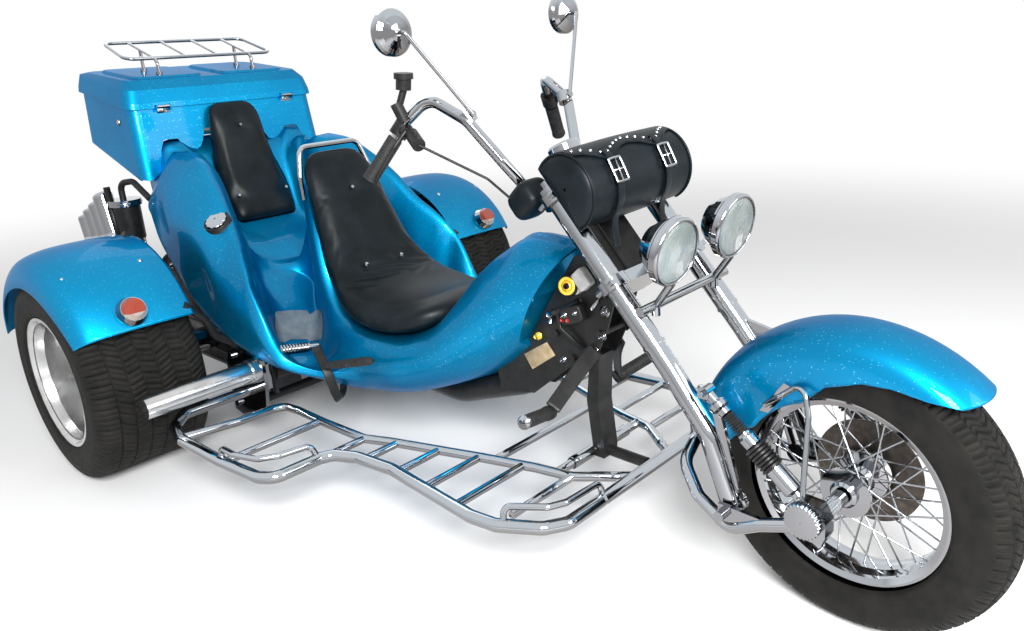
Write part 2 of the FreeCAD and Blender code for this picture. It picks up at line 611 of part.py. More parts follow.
trunk = outer.cut(inside(above_lip, floor_top, -0.05, 0.42)).cut(inside(floor_low, under_skirt, 0.45, 1.05))
LOBES = [(-420, 830), (-392, 850), (-374, 853), (-352, 846), (-333, 850), (-303, 872), (-284, 945), (-270, 975),
         (-262, 979), (-216, 977), (-204, 955), (-190, 935), (-165, 930), (-138, 940), (-124, 965), (-112, 1000),
         (-104, 1006)]
edge = LOBES + [(-y, z) for y, z in reversed(LOBES)] + [(420, 700), (-420, 700)]
wire = Part.makePolygon([vec(-292, y, z) for y, z in edge] + [vec(-292, *edge[0])])
lobe_cut = Part.Face(wire).extrude(vec(80, 0, 0))
trunk = trunk.cut(lobe_cut)
EAR_IN = HINGE_HALF + 1.0
EAR_OUT = HINGE_HALF + 5.0
hinge_ears = []
ear_room = []
for s in (-1.0, 1.0):
    for e in (-1.0, 1.0):
        y0, y1 = sorted((s * HINGE_Y + e * EAR_IN, s * HINGE_Y + e * EAR_OUT))
        hinge_ears.append(block(TRUNK_FRONT - 3, HINGE_X + 4, y0, y1, HINGE_Z - 15, HINGE_Z + 4))
        ear_room.append(block(TRUNK_FRONT - 8, HINGE_X + 8, y0 - 1, y1 + 1, HINGE_Z - 20, HINGE_Z + 7))
    hinge_ears.append(rod((HINGE_X, s * HINGE_Y - EAR_OUT, HINGE_Z), (HINGE_X, s * HINGE_Y + EAR_OUT, HINGE_Z),
                          HINGE_PIN_R))
trunk = fused([largest(trunk)] + hinge_ears)
keep("trunk_box", largest(trunk))

# the body ends just behind the apron and under the trunk floor
body = body.cut(NODES["trunk_box"])
rear_seat = largest(rear_seat.cut(NODES["trunk_box"]))
body = body.cut(rear_seat).cut(front_seat).cut(NODES["frame"]).cut(engine)
body = largest(body)
for name in ("fender_struts", "board_brackets"):
    keep(name, [largest(solid.cut(body)) for solid in NODES[name].Solids])
keep("rear_seat", rear_seat)
keep("front_seat", front_seat)
keep("body_tub", body)
keep("air_canister", [NODES["air_canister"], largest(hose.cut(body).cut(NODES["trunk_box"])
                                                    .cut(NODES["canister_caps"]))])


def outermost(shape, at, direction):
    # where a line through a cushion leaves it
    at = vec(*at)
    line = Part.makeLine(at, at + direction * 200.0).common(shape)
    return max((v.Point for v in line.Vertexes), key=lambda p: (p - at).dot(direction))


BUTTON_R = 8.0
BUTTONS = [(rear_seat, -260, 0, 1000, (0.98, 0.18)), (rear_seat, -175, -97, 748, (0.92, 0.39)),
           (rear_seat, -175, 97, 748, (0.92, 0.39)), (front_seat, 535, -71, 540, (0.42, 0.9)),
           (front_seat, 535, 71, 540, (0.42, 0.9)), (front_seat, 402, 0, 815, (0.93, 0.37))]
buttons = []
for seat, x, y, z, (ahead, up) in BUTTONS:
    way = vec(ahead, 0, up)
    hit = outermost(seat, (x, y, z), way)
    buttons.append(largest(Part.makeCone(BUTTON_R, BUTTON_R - 3, 7.0, hit - way * 3.0, way).cut(seat)))
keep("seat_buttons", buttons)


# trunk lid with a lip, rounded sides and two raised panels
def lid_shell(inset, drop):
    def low(x):
        return lip_z(x) + 1.0 - drop

    def side(x):
        return lip_z(x) + 20.0

    def shoulder(x):
        return lip_z(x) + 62.0 - inset * 0.8

    def crown(x):
        return 1184.0 - (x + 330.0) * 0.095 - inset
    rings = [rounded_ring(-288 - inset, -713 + inset, 372 - inset, low, 42.0 - inset),
             rounded_ring(-290 - inset, -711 + inset, 370 - inset, side, 42.0 - inset),
             rounded_ring(-303 - inset, -703 + inset, 360 - inset, shoulder, 42.0 - inset),
             rounded_ring(-330 - inset, -684 + inset, 336 - inset, crown, 42.0 - inset)]
    return Part.makeLoft(rings, True, True)


def crown_z(x):
    return 1184.0 - (x + 330.0) * 0.095


lid = lid_shell(0.0, 0.0).cut(lid_shell(5.0, 3.0))
panels = []
for s in (-1.0, 1.0):
    corners = [(-352, s * 34), (-352, s * 300), (-664, s * 300), (-664, s * 34)]
    low_ring = bent_path([(x, y, crown_z(x) - 3) for x, y in corners], 40.0, True)
    inner = [(-362, s * 44), (-362, s * 290), (-654, s * 290), (-654, s * 44)]
    top_ring = bent_path([(x, y, crown_z(x) + 7) for x, y in inner], 34.0, True)
    panels.append(Part.makeLoft([low_ring, top_ring], True, True))
lid = fused([lid] + panels)
for room in ear_room:
    lid = lid.cut(room)
lid = largest(lid)
keep("trunk_lid", lid)

# luggage rack: closed rail, rungs and bent feet
front_x, front_y, front_z = RACK_FRONT
rear_x, rear_y, rear_z = RACK_REAR
RAIL_TUBE_R = 6.5
rack = [tube([(rear_x, -rear_y, rear_z), (front_x, -front_y, front_z), (front_x, front_y, front_z),
              (rear_x, rear_y, rear_z)], RAIL_TUBE_R, 34.0, True)]
FOOT_Y = 186.0


def rail_z(x):
    return front_z + (x - front_x) * (rear_z - front_z) / (rear_x - front_x)


for y in (-FOOT_Y, -62, 62, FOOT_Y):
    rack.append(rod((front_x, y, front_z), (rear_x, y, rear_z), 5.0))
for y in (-FOOT_Y, FOOT_Y):
    rack.append(tube([(-452, y, rail_z(-452)), (-404, y, rail_z(-404) - 4), (-402, y, crown_z(-402) - 4)], 6.0, 22.0))
    rack.append(rod((-525, y, crown_z(-525) - 4), (-525, y, rail_z(-525)), 6.0))
    for x in (-402, -525):
        rack.append(rod((x, y, crown_z(x) - 4), (x, y, crown_z(x) + 17), 11.0))
keep("luggage_rack", largest(fused(rack).cut(lid)))
knuckles = []
for s in (-1.0, 1.0):
    a = (HINGE_X, s * HINGE_Y - HINGE_HALF, HINGE_Z)
    b = (HINGE_X, s * HINGE_Y + HINGE_HALF, HINGE_Z)
    knuckles.append(largest(rod(a, b, 5.0).cut(rod(a, b, HINGE_PIN_R + RUN_FIT)).cut(lid)))
keep("lid_hinges", knuckles)

# trim on the body
grab = tube([(352, -134, 800), (350, -136, 872), (328, -112, 962), (328, 112, 962), (350, 136, 872),
             (352, 134, 800)], 8.5, 34.0)
keep("grab_bar", largest(grab.cut(body).cut(front_seat)))
PEG_Y = (-310.0, -430.0)
peg_arm = tube([(596, -232, 300), (628, -290, 222), (628, -296, 345), (574, -300, 392)], 11.0, 26.0)
lever = fused([rod((620, -297, 330), (700, -322, 372), 9.0), rod((692, -320, 368), (905, -330, 432), 12.0)])
peg = fused([rod((571, PEG_Y[0] + 18, 391), (545, PEG_Y[1], 411), 11.0)]
            + [rod(between((571, PEG_Y[0] + 18, 391), (545, PEG_Y[1], 411), 0.22 + 0.066 * k),
                   between((571, PEG_Y[0] + 18, 391), (545, PEG_Y[1], 411), 0.252 + 0.066 * k), 16.0)
               for k in range(12)])
keep("passenger_pegs", both(largest(peg.cut(body))))
arms = largest(fused([peg_arm, lever]).cut(NODES["passenger_pegs"]).cut(body))
keep("passenger_peg_arms", both(arms))
rider_peg = fused([rod((1398, -147, 340), (1445, -292, 385), 17.0), rod((1445, -292, 385), (1449, -306, 389), 14.0),
                   rod((1330, -46, 465), (1400, -152, 340), 12.0)])
keep("rider_pegs", both(largest(rider_peg.cut(NODES["frame"]).cut(body).cut(NODES["front_strap"]))))
FILLER_IN = (217, -340, 703)
CAP_AXIS = vec(0.28, -0.62, 0.93).normalize()
cap_at = outermost(body, FILLER_IN, CAP_AXIS)
ring = Part.makeCylinder(43, 34, cap_at - CAP_AXIS * 26.0, CAP_AXIS).cut(body)
keep("filler_ring", max(ring.Solids, key=lambda s: s.CenterOfMass.z))
cap = Part.makeCone(35, 30, 15, cap_at + CAP_AXIS * (8.0 + SEAT_GAP), CAP_AXIS)
keep("filler_cap", largest(cap.cut(body)))


# front wheel: tyre, rim, hub and crossed wire spokes
def front_turned(profile):
    return turned(profile, WHEELBASE, FRONT_TYRE_R)


def mirrored_profile(half):
    return front_turned(half + [(r, -w) for r, w in reversed(half)])


lip = FRONT_RIM_HALF
bead = lip - 8.0
keep("front_tyre", mirrored_profile([
    (FRONT_SEAT_R + SEAT_GAP, bead), (FRONT_RIM_R + 2.0, bead), (FRONT_RIM_R + 6.0, lip + 3.0),
    (FRONT_TYRE_R - 80.0, FRONT_TYRE_HALF - 1.0), (FRONT_TYRE_R - 58.0, FRONT_TYRE_HALF),
    (FRONT_TYRE_R - 33.0, FRONT_TYRE_HALF - 6.0), (FRONT_TYRE_R - 13.0, FRONT_TYRE_HALF - 20.0),
    (FRONT_TYRE_R - 3.0, FRONT_TYRE_HALF - 40.0), (FRONT_TYRE_R, FRONT_TYRE_HALF - 58.0)]))
keep("front_rim", mirrored_profile([
    (FRONT_SEAT_R - 8.0, 10.0), (FRONT_SEAT_R - 4.0, lip - 16.0), (FRONT_SEAT_R - 4.0, lip - 6.0),
    (FRONT_RIM_R - 6.0, lip), (FRONT_RIM_R, lip), (FRONT_RIM_R, bead + 0.4), (FRONT_SEAT_R, bead + 0.4),
    (FRONT_SEAT_R, lip - 20.0), (FRONT_SEAT_R - 4.0, 10.0)]))
bore_r = FRONT_AXLE_R + RUN_FIT
HUB_HALF = 58.0
FLANGE_Y = 42.0
keep("front_hub", mirrored_profile([(bore_r, HUB_HALF), (24.0, HUB_HALF), (30.0, HUB_HALF - 6.0), (30.0, FLANGE_Y + 3.0),
                                    (56.0, FLANGE_Y + 1.0), (56.0, FLANGE_Y - 5.0), (32.0, 28.0), (27.0, 10.0)]))
FLANGE_R = 50.0
SPOKES = 40
spokes = []
for k in range(SPOKES):
    side = 1.0 if k % 2 else -1.0
    a = 2.0 * math.pi * k / SPOKES
    lean = math.radians(58.0 if (k // 2) % 2 else -58.0)
    foot = wheel_point(FLANGE_R * math.cos(a + lean), FLANGE_R * math.sin(a + lean), side * FLANGE_Y)
    rim_r = FRONT_SEAT_R - 8.6
    tip = wheel_point(rim_r * math.cos(a), rim_r * math.sin(a), side * 4.0)
    spokes.append(rod(foot, tip, 2.0))
keep("front_spokes", [largest(s.cut(NODES["front_hub"]).cut(NODES["front_rim"])) for s in spokes])

# fork: stem with two clamps, straight tubes, bent lower legs, leading links and shocks
keep("steering_stem", fused([rod(head(HEAD_TOP - 40), head(HEAD_LOW + 40), STEM_R),
                             rod(head(HEAD_TOP - 40), head(HEAD_TOP - MOVE_GAP), 30.0),
                             rod(head(HEAD_LOW + MOVE_GAP), head(HEAD_LOW + 40), 30.0)]))


CLAMP_R = FORK_R + 11.0
CLAMP_FRONT = FORK_AHEAD + CLAMP_R


def clamp(along, thick):
    parts = [Part.makeCylinder(CLAMP_R, thick, vec(*head(along, FORK_AHEAD, s * FORK_SIDE)), HEAD_DOWN) for s in (-1, 1)]
    outline = [(10, -100), (96, -FORK_SIDE), (96, FORK_SIDE), (10, 100), (-34, 40), (-34, -40), (10, -100)]
    bar = Part.makePolygon([vec(*head(along, ahead, side)) for ahead, side in outline])
    parts.append(Part.Face(bar).extrude(HEAD_DOWN * thick))
    for s in (-1, 1):
        parts.append(rod(head(along + thick / 2, FORK_AHEAD + 30, s * (FORK_SIDE + 28)),
                         head(along + thick / 2, FORK_AHEAD - 34, s * (FORK_SIDE + 28)), 7.0))
    return fused(parts)


stem_hole = rod(head(HEAD_TOP - 60), head(HEAD_LOW + 60), 30.0)
leg_holes = [rod(head(0, FORK_AHEAD, s * FORK_SIDE), head(400, FORK_AHEAD, s * FORK_SIDE), FORK_R) for s in (-1, 1)]
clamps = []
for solid in (clamp(HEAD_TOP - 36, 26), clamp(LOW_CLAMP, LOW_CLAMP_THICK)):
    clamps.append(solid.cut(stem_hole).cut(leg_holes[0]).cut(leg_holes[1]))
keep("fork_clamps", clamps)
PIVOT = wheel_point(-205.0, -58.0)
SHOCK_TOP = wheel_point(-256.0, 216.0, SHOCK_Y)
SHOCK_LOW = wheel_point(-36.0, 42.0, SHOCK_Y)


def leg(s):
    y = s * FORK_SIDE
    cap = [rod(head(-8, FORK_AHEAD, y), head(16, FORK_AHEAD, y), 18.0)]
    collar = rod(head(12, FORK_AHEAD, y), head(24, FORK_AHEAD, y), FORK_R + 7)
    upper = rod(head(12, FORK_AHEAD, y), head(FORK_END, FORK_AHEAD, y), FORK_R)
    weld = rod(head(FORK_END - 4, FORK_AHEAD, y), head(FORK_END + 4, FORK_AHEAD, y), FORK_R + 2)
    knee = wheel_point(-262.0, 100.0, y + s * 3)
    lower = tube([head(FORK_END, FORK_AHEAD, y), head(FORK_END + 62, FORK_AHEAD, y), knee,
                  (PIVOT[0], y + s * 4, PIVOT[2])], LEG_R, 70.0)
    boss = rod((PIVOT[0], y - s * 22, PIVOT[2]), (PIVOT[0], y + s * 23.4, PIVOT[2]), LEG_R)
    top = SHOCK_TOP
    gusset = prism([(top[0] - 112, top[2] + 40), (top[0] - 20, top[2] + 24), (top[0] + 14, top[2] + 8),
                    (top[0] + 12, top[2] - 12), (top[0] - 38, top[2] - 92), (top[0] - 62, top[2] - 84)],
                   y - 5, y + 5)
    eye = rod((top[0], y, top[2]), (top[0], s * (SHOCK_Y - 14 - SEAT_GAP), top[2]), 15.0)
    knee_plate = prism([(knee[0] + 10, knee[2] + 62), (knee[0] + 30, knee[2] + 60), (PIVOT[0] + 30, PIVOT[2] + 6),
                        (PIVOT[0], PIVOT[2])], y + s * 3 - 5, y + s * 3 + 5)
    return fused(cap + [collar, upper, weld, lower, boss, gusset, eye, knee_plate])


keep("fork_leg_right", leg(-1.0))
keep("fork_leg_left", leg(1.0))
BLOCK_X = (-38.0, 36.0)
BLOCK_Z = (-30.0, 52.0)
half_arm = [wheel_point(BLOCK_X[0] + 8, -14.0, -LINK_Y), wheel_point(-118.0, -52.0, -LINK_Y),
            wheel_point(-190.0, -94.0, -LINK_Y), wheel_point(-292.0, -62.0, -LINK_Y + 26),
            wheel_point(-352.0, -12.0, -LINK_Y + 60), wheel_point(-366.0, 12.0, -60.0)]
arm = tube(half_arm + [(x, -y, z) for x, y, z in reversed(half_arm)], LINK_R, 62.0)
arm_parts = [arm]
for s in (-1, 1):
    y = s * LINK_Y
    arm_parts.append(prism([(PIVOT[0] - 12, PIVOT[2] + 22), (PIVOT[0] + 16, PIVOT[2] + 22),
                            (PIVOT[0] + 126, PIVOT[2] + 24), (PIVOT[0] + 60, PIVOT[2] - 22),
                            (PIVOT[0] - 14, PIVOT[2] - 30)], y - 5, y + 5))
    arm_parts.append(rod((PIVOT[0], y - s * 10, PIVOT[2]), (PIVOT[0], y + s * 22, PIVOT[2]), 12.0))
links = fused(arm_parts).cut(NODES["fork_leg_right"]).cut(NODES["fork_leg_left"])
keep("link_arms", largest(links))
axle_parts = [rod(wheel_point(0, 0, -214), wheel_point(0, 0, 214), FRONT_AXLE_R)]
for s in (-1, 1):
    x0, x1 = (WHEELBASE + v for v in BLOCK_X)
    z0, z1 = (FRONT_TYRE_R + v for v in BLOCK_Z)
    y0, y1 = sorted((s * (LINK_Y - 22), s * (LINK_Y + 14)))
    axle_parts.append(prism([(x0, z0), (x1 - 8, z0), (x1, z0 + 20), (x1, z1 - 30), (x1 - 18, z1), (x0 + 14, z1),
                             (x0, z1 - 24)], y0, y1))
    axle_parts.append(rod(wheel_point(0, 0, s * (HUB_HALF + MOVE_GAP)), wheel_point(0, 0, s * LINK_Y), 18.0))
    axle_parts.append(rod(wheel_point(0, 0, s * (LINK_Y + 12)), wheel_point(0, 0, s * (LINK_Y + 22)), 16.0))
    axle_parts.append(rod(wheel_point(-22, 30, s * (LINK_Y + 12)), wheel_point(-22, 30, s * (LINK_Y + 24)), 9.0))
axle = fused(axle_parts).cut(NODES["link_arms"])
keep("front_axle", largest(axle))


# shocks: eye, damper rings, thin rod, collar, black spring and lower can
def shock(s):
    a = (SHOCK_TOP[0], s * SHOCK_Y, SHOCK_TOP[2])
    b = (SHOCK_LOW[0], s * SHOCK_Y, SHOCK_LOW[2])
    body_half = spun(a, b, [(0.03, 13), (0.10, 13), (0.12, 22), (0.16, 22), (0.18, 15), (0.22, 15), (0.24, 8),
                            (0.40, 8), (0.41, 15), (0.43, 15), (0.45, 19), (0.52, 19), (0.53, 16), (0.735, 16),
                            (0.74, 21), (0.94, 21), (0.96, 13), (1.0, 13)])
    eye = rod((a[0], a[1] - 14, a[2]), (a[0], a[1] + 14, a[2]), 14.0)
    bolt = rod((a[0], a[1], a[2]), (a[0], a[1] + s * 26, a[2]), 7.0)
    return fused([body_half, eye, bolt])


def spring(s):
    a = (SHOCK_TOP[0], s * SHOCK_Y, SHOCK_TOP[2])
    b = (SHOCK_LOW[0], s * SHOCK_Y, SHOCK_LOW[2])
    coils = 7
    span = 0.205 / coils
    outline = []
    for k in range(coils):
        t = 0.53 + 0.0005 + k * span
        outline += [(t, 20.5), (t + span * 0.25, 25), (t + span * 0.75, 25)]
    outline.append((0.734, 20.5))
    return spun(a, b, outline).cut(spun(a, b, [(0.5, 16 + SEAT_GAP), (0.76, 16 + SEAT_GAP)]))


taken = [NODES["front_axle"], NODES["link_arms"], NODES["fork_leg_right"], NODES["fork_leg_left"]]
shocks = []
for s in (-1.0, 1.0):
    solid = shock(s)
    for other in taken:
        solid = solid.cut(other)
    shocks.append(largest(solid))
keep("shock_bodies", shocks)
keep("shock_springs", [spring(-1.0), spring(1.0)])


# front fender with rounded skirts, and the bent stays that carry it from the axle blocks
def fender_profile(wall):
    half = FRONT_FENDER_HALF
    rows = [(FF_R, 0), (FF_R - 1.5, half * 0.30), (FF_R - 9, half * 0.62), (FF_R - 25, half * 0.86),
            (FF_R - 48, half * 0.97), (FF_R - 80, half), (FF_R - 150, half)]
    return [(r - wall * 0.8, max(w - wall * 0.8, 0.0)) for r, w in rows]


outside = fender_profile(0.0)
inner = fender_profile(FRONT_FENDER_WALL / 0.8)
profile = ([(r, -w) for r, w in reversed(outside[1:])] + outside
           + inner[::-1] + [(r, -w) for r, w in inner[1:]])
fender = turned(profile, WHEELBASE, FRONT_TYRE_R, 0.0, 1.0, 129.0, 46.0)
TIP_ANGLE = math.radians(48.4)
TIP_DEEP = 52.0
tip_out = vec(math.cos(TIP_ANGLE), 0, math.sin(TIP_ANGLE))
tip_on = vec(math.sin(TIP_ANGLE), 0, -math.cos(TIP_ANGLE))
tip_base = vec(*wheel_point(0, 0)) + tip_out * (FF_R - 150.0)
plan = []
for k in range(17):
    t = -math.pi / 2.0 + math.pi * k / 16.0
    plan.append(tip_base + vec(0, (FRONT_FENDER_HALF + 2.0) * math.sin(t), 0) - tip_on * (TIP_DEEP * (1.0 - math.cos(t))))
plan += [tip_base + vec(0, y, 0) + tip_on * 90.0 for y in (FRONT_FENDER_HALF + 2.0, -FRONT_FENDER_HALF - 2.0)]
tip_cut = Part.Face(Part.makePolygon(plan + [plan[0]])).extrude(tip_out * 200.0)
fender = fender.cut(tip_cut)
SKIRT = [(330, 268), (262, 262), (190, 266), (125, 281), (60, 282), (-22, 257), (-72, 211), (-104, 150),
         (-150, 142), (-196, 112), (-216, 103), (-262, 50), (-300, 30), (-360, 0)]
skirt = [(WHEELBASE + x, FRONT_TYRE_R + z) for x, z in SKIRT]
skirt += [(WHEELBASE - 380, FRONT_TYRE_R - 100), (WHEELBASE + 420, FRONT_TYRE_R - 100),
          (WHEELBASE + 420, FRONT_TYRE_R + 268)]
fender = fender.cut(prism(skirt, -120, 120))
keep("front_fender", largest(fender))
stays = []
for s in (-1.0, 1.0):
    fy = FRONT_FENDER_HALF + 6.5
    stay = tube([wheel_point(-160, 182, s * (fy - 0.4)), wheel_point(-88, 246, s * (fy + 2)),
                 wheel_point(-62, 246, s * (fy + 12)), wheel_point(-46, 200, s * (fy + 26)),
                 wheel_point(-26, 46, s * (LINK_Y - 8))], 6.0, 24.0)
    foot = prism([(WHEELBASE - 172, FRONT_TYRE_R + 166), (WHEELBASE - 152, FRONT_TYRE_R + 166),
                  (WHEELBASE - 96, FRONT_TYRE_R + 240), (WHEELBASE - 116, FRONT_TYRE_R + 246)],
                 s * (fy - 6.4), s * (fy + 1))
    solid = fused([stay, foot]).cut(NODES["front_fender"]).cut(NODES["front_axle"])
    for other in shocks:
        solid = solid.cut(other)
    stays.append(largest(solid))
keep("fender_stays", stays)

# handlebar on risers, grips, mirrors, controls and cable
BAR = [(1303, -84, 905), (1269, -132, 985), (1206, -180, 1092), (1096, -203, 1146), (1058, -252, 1096),
       (1000, -342, 966)]
full_bar = BAR[::-1] + [(x, -y, z) for x, y, z in BAR]
BAR_R = 14.0
handlebar = tube(full_bar, BAR_R, 46.0)
risers = [rod(head(26, -4, s * 66), (1303, s * 66, 905), 13.0) for s in (-1, 1)]
keep("handlebar", fused([handlebar] + risers).cut(NODES["fork_clamps"]))
GRIP_END = (1000.0, -342.0, 966.0)
GRIP_TOP = (1058.0, -252.0, 1096.0)
GRIP_DIR = (vec(*GRIP_TOP) - vec(*GRIP_END)).normalize()
GRIP_LEN = 122.0
half_grip = Part.makeCylinder(18.0, GRIP_LEN, vec(*GRIP_END) - GRIP_DIR * 6, GRIP_DIR)
grips = [half_grip.fuse(Part.makeCylinder(20.5, 7, vec(*GRIP_END) - GRIP_DIR * 8, GRIP_DIR))]
grips.append(flipped(grips[0]))
keep("grips", [fused([g]).cut(NODES["handlebar"]) for g in grips])


def grip_at(up, out=0.0, front=0.0):
    # point along the grip, offset outwards and forwards
    p = vec(*GRIP_END) + GRIP_DIR * up + vec(0, -out, 0) + vec(front, 0, 0)
    return (p.x, p.y, p.z)


housing = rod(grip_at(GRIP_LEN + 3), grip_at(GRIP_LEN + 38), 23.0)
brake_lever = fused([rod(grip_at(GRIP_LEN + 20, 10, 20), grip_at(GRIP_LEN + 22, 20, 46), 9.0),
                     tube([grip_at(GRIP_LEN + 22, 20, 46), grip_at(GRIP_LEN - 20, 30, 52),
                           grip_at(GRIP_LEN - 118, 22, 48)], 6.5, 20.0)])
master = fused([rod((1066, -262, 1096), (1052, -272, 1142), 15.0), rod((1056, -268, 1130), (1066, -250, 1178), 9.0),
                rod((1064, -252, 1172), (1067, -249, 1198), 19.0), rod((1067, -249, 1198), (1068, -248, 1212), 24.0)])
choke = fused([rod((1075, -262, 1078), (1104, -274, 1066), 12.0), rod((1100, -272, 1068), (1152, -292, 1048), 17.0)])
left_box = fused([flipped(housing), flipped(rod(grip_at(GRIP_LEN + 12, 6, -8), grip_at(GRIP_LEN + 16, 24, -34), 16.0)),
                  flipped(brake_lever)])
right_box = fused([housing, brake_lever, master, choke])
keep("hand_controls", [largest(right_box.cut(NODES["handlebar"]).cut(grips[0])),
                       largest(left_box.cut(NODES["handlebar"]).cut(grips[1]))])
mirrors = []
for s in (-1, 1):
    foot = (1203, s * 172, 1098)
    back = vec(1112, s * 292, 1308)
    bowl = spun((back.x, back.y, back.z), (back.x + 22, back.y, back.z),
                [(-0.55, 50), (-0.55, 54), (0.0, 54), (0.25, 49), (0.55, 38), (0.85, 20), (1.0, 8)])
    stalk = tube([(back.x + 16, back.y, back.z), (back.x + 44, back.y, back.z), (foot[0] + 20, foot[1], foot[2] + 8)],
                 5.0, 10.0)
    band = rod(between(foot, (1269, s * 132, 985), -0.10), between(foot, (1269, s * 132, 985), 0.12), BAR_R + 5)
    lug = rod(foot, (foot[0] + 24, foot[1], foot[2] + 10), 8.0)
    mirrors.append(largest(fused([stalk, bowl, lug, band]).cut(handlebar)))
keep("mirrors", mirrors)
gauge = spun((1384, 0, 944), (1350, 0, 1010), [(0.0, 22), (0.3, 36), (0.55, 42), (0.92, 42), (1.0, 38)])
post = rod(head(30, 12), (1380, 0, 952), 10.0)
keep("instrument", largest(fused([gauge, post]).cut(NODES["fork_clamps"]).cut(NODES["steering_stem"])))

# leather bag with bulged D-shaped ends, its flat back on the fork clamps, and a small pouch behind it
BAG = (1520.0, 940.0)
BAG_R = 92.0
BAG_HALF = 186.0
bag_back = CLAMP_FRONT + SEAT_GAP
bag = turned([(0, -BAG_HALF - 10), (BAG_R * 0.6, -BAG_HALF - 7), (BAG_R * 0.92, -BAG_HALF + 2), (BAG_R, -BAG_HALF + 14),
              (BAG_R, BAG_HALF - 14), (BAG_R * 0.92, BAG_HALF - 2), (BAG_R * 0.6, BAG_HALF + 7), (0, BAG_HALF + 10)],
             BAG[0], BAG[1])
bag = largest(bag.cut(prism([head(-300, bag_back)[0::2], head(300, bag_back)[0::2], head(300, bag_back - 300)[0::2],
                             head(-300, bag_back - 300)[0::2]], -300, 300)))
pouch = prism([(1392, 872), (1318, 842), (1272, 862), (1262, 902), (1292, 936), (1330, 940), (1352, 932)], -150, -52)
for name in ("fork_clamps", "fork_leg_right", "fork_leg_left", "instrument", "steering_stem", "handlebar"):
    pouch = pouch.cut(NODES[name])
keep("roll_bag", [bag, largest(pouch.cut(bag))])
cable = tube([(1152, -292, 1048), (1262, -180, 952), (1318, -162, 905)], 3.2, 30.0)
for name in ("hand_controls", "handlebar", "roll_bag", "instrument"):
    cable = cable.cut(NODES[name])
keep("control_cable", largest(cable))

# lamp bar across the fork tubes with two round lamps on posts
LAMP_BAR = (1713.0, 690.0)
LAMP = (1777.0, 114.0, 825.0)
LAMP_R = 78.0
LAMP_AXIS = vec(0.985, 0, -0.17)
shells = []
glass = []
for s in (-1, 1):
    c = vec(LAMP[0], s * LAMP[1], LAMP[2])
    far = c + LAMP_AXIS * 40.0
    shells.append(spun((c.x, c.y, c.z), (far.x, far.y, far.z),
                       [(-1.75, 20), (-1.62, 44), (-1.1, 60), (-0.6, 70), (-0.35, 72), (-0.34, LAMP_R), (0.0, LAMP_R)]))
    edge = c + LAMP_AXIS * SEAT_GAP
    tip = edge + LAMP_AXIS * 12.0
    glass.append(spun((edge.x, edge.y, edge.z), (tip.x, tip.y, tip.z),
                      [(0.0, LAMP_R - 6), (0.35, LAMP_R - 8), (0.75, LAMP_R - 30), (1.0, 8)]))
bar_parts = [rod((LAMP_BAR[0], -166, LAMP_BAR[1]), (LAMP_BAR[0], 166, LAMP_BAR[1]), 11.0)]
for s in (-1, 1):
    bar_parts.append(rod((LAMP_BAR[0] + 4, s * LAMP[1], LAMP_BAR[1]), (LAMP[0] - 14, s * LAMP[1], LAMP[2] - 74), 9.0))
    bar_parts.append(rod((LAMP_BAR[0] + 4, s * LAMP[1], LAMP_BAR[1] - 22), (LAMP_BAR[0] + 4, s * LAMP[1], LAMP_BAR[1]),
                         10.0))
light_bar = fused(bar_parts)
for name in ("fork_leg_right", "fork_leg_left", "fork_clamps", "roll_bag"):
    light_bar = light_bar.cut(NODES[name])
for solid in shells:
    light_bar = light_bar.cut(solid)
keep("light_bar", largest(light_bar))
keep("headlamp_shells", shells)
keep("headlamp_lenses", glass)

# placing and writing: what steers is turned about the head by the angle seen
FORK_NODES = ["steering_stem", "fork_clamps", "fork_leg_right", "fork_leg_left", "link_arms", "front_axle",
              "shock_bodies", "shock_springs", "front_fender", "fender_stays", "handlebar", "grips", "hand_controls",
              "control_cable", "mirrors", "instrument", "roll_bag", "light_bar", "headlamp_shells", "headlamp_lenses",
              "front_tyre", "front_rim", "front_hub", "front_spokes"]

os.makedirs("parts", exist_ok=True)
for name, shape in NODES.items():
    if name in FORK_NODES:
        shape.rotate(vec(HEAD_X, 0, HEAD_Z), vec(-RAKE_SIN, 0, RAKE_COS), STEER)
    shape.translate(vec(-MID_X, 0, 0))
    shape.exportStep("parts/" + name + ".step")
    box = shape.BoundBox
    print(name, len(shape.Solids), shape.isValid(), round(shape.Volume / 1e6, 3),
          [round(v) for v in (box.XMin, box.XMax, box.YMin, box.YMax, box.ZMin, box.ZMax)])
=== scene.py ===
import json
import math
import bpy
import numpy as np
from mathutils import Matrix, Vector
from mathutils.bvhtree import BVHTree


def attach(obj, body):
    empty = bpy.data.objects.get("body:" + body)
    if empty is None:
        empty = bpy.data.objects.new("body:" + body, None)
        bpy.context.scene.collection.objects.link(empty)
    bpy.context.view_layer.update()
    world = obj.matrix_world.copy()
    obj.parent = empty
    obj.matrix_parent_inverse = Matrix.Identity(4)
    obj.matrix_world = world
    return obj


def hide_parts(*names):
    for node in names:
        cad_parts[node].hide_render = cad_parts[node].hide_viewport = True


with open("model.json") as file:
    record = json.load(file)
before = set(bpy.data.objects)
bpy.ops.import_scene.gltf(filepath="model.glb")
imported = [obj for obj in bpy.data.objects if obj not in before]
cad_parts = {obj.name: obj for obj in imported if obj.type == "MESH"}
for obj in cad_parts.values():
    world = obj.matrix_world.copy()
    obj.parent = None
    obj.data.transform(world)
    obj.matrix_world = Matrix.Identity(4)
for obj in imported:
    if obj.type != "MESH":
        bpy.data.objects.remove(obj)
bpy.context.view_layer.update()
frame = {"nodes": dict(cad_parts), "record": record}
nodes = frame["nodes"]
slotOf = {p["node"]: p["material_slot"] for p in frame["record"]["subparts"]}

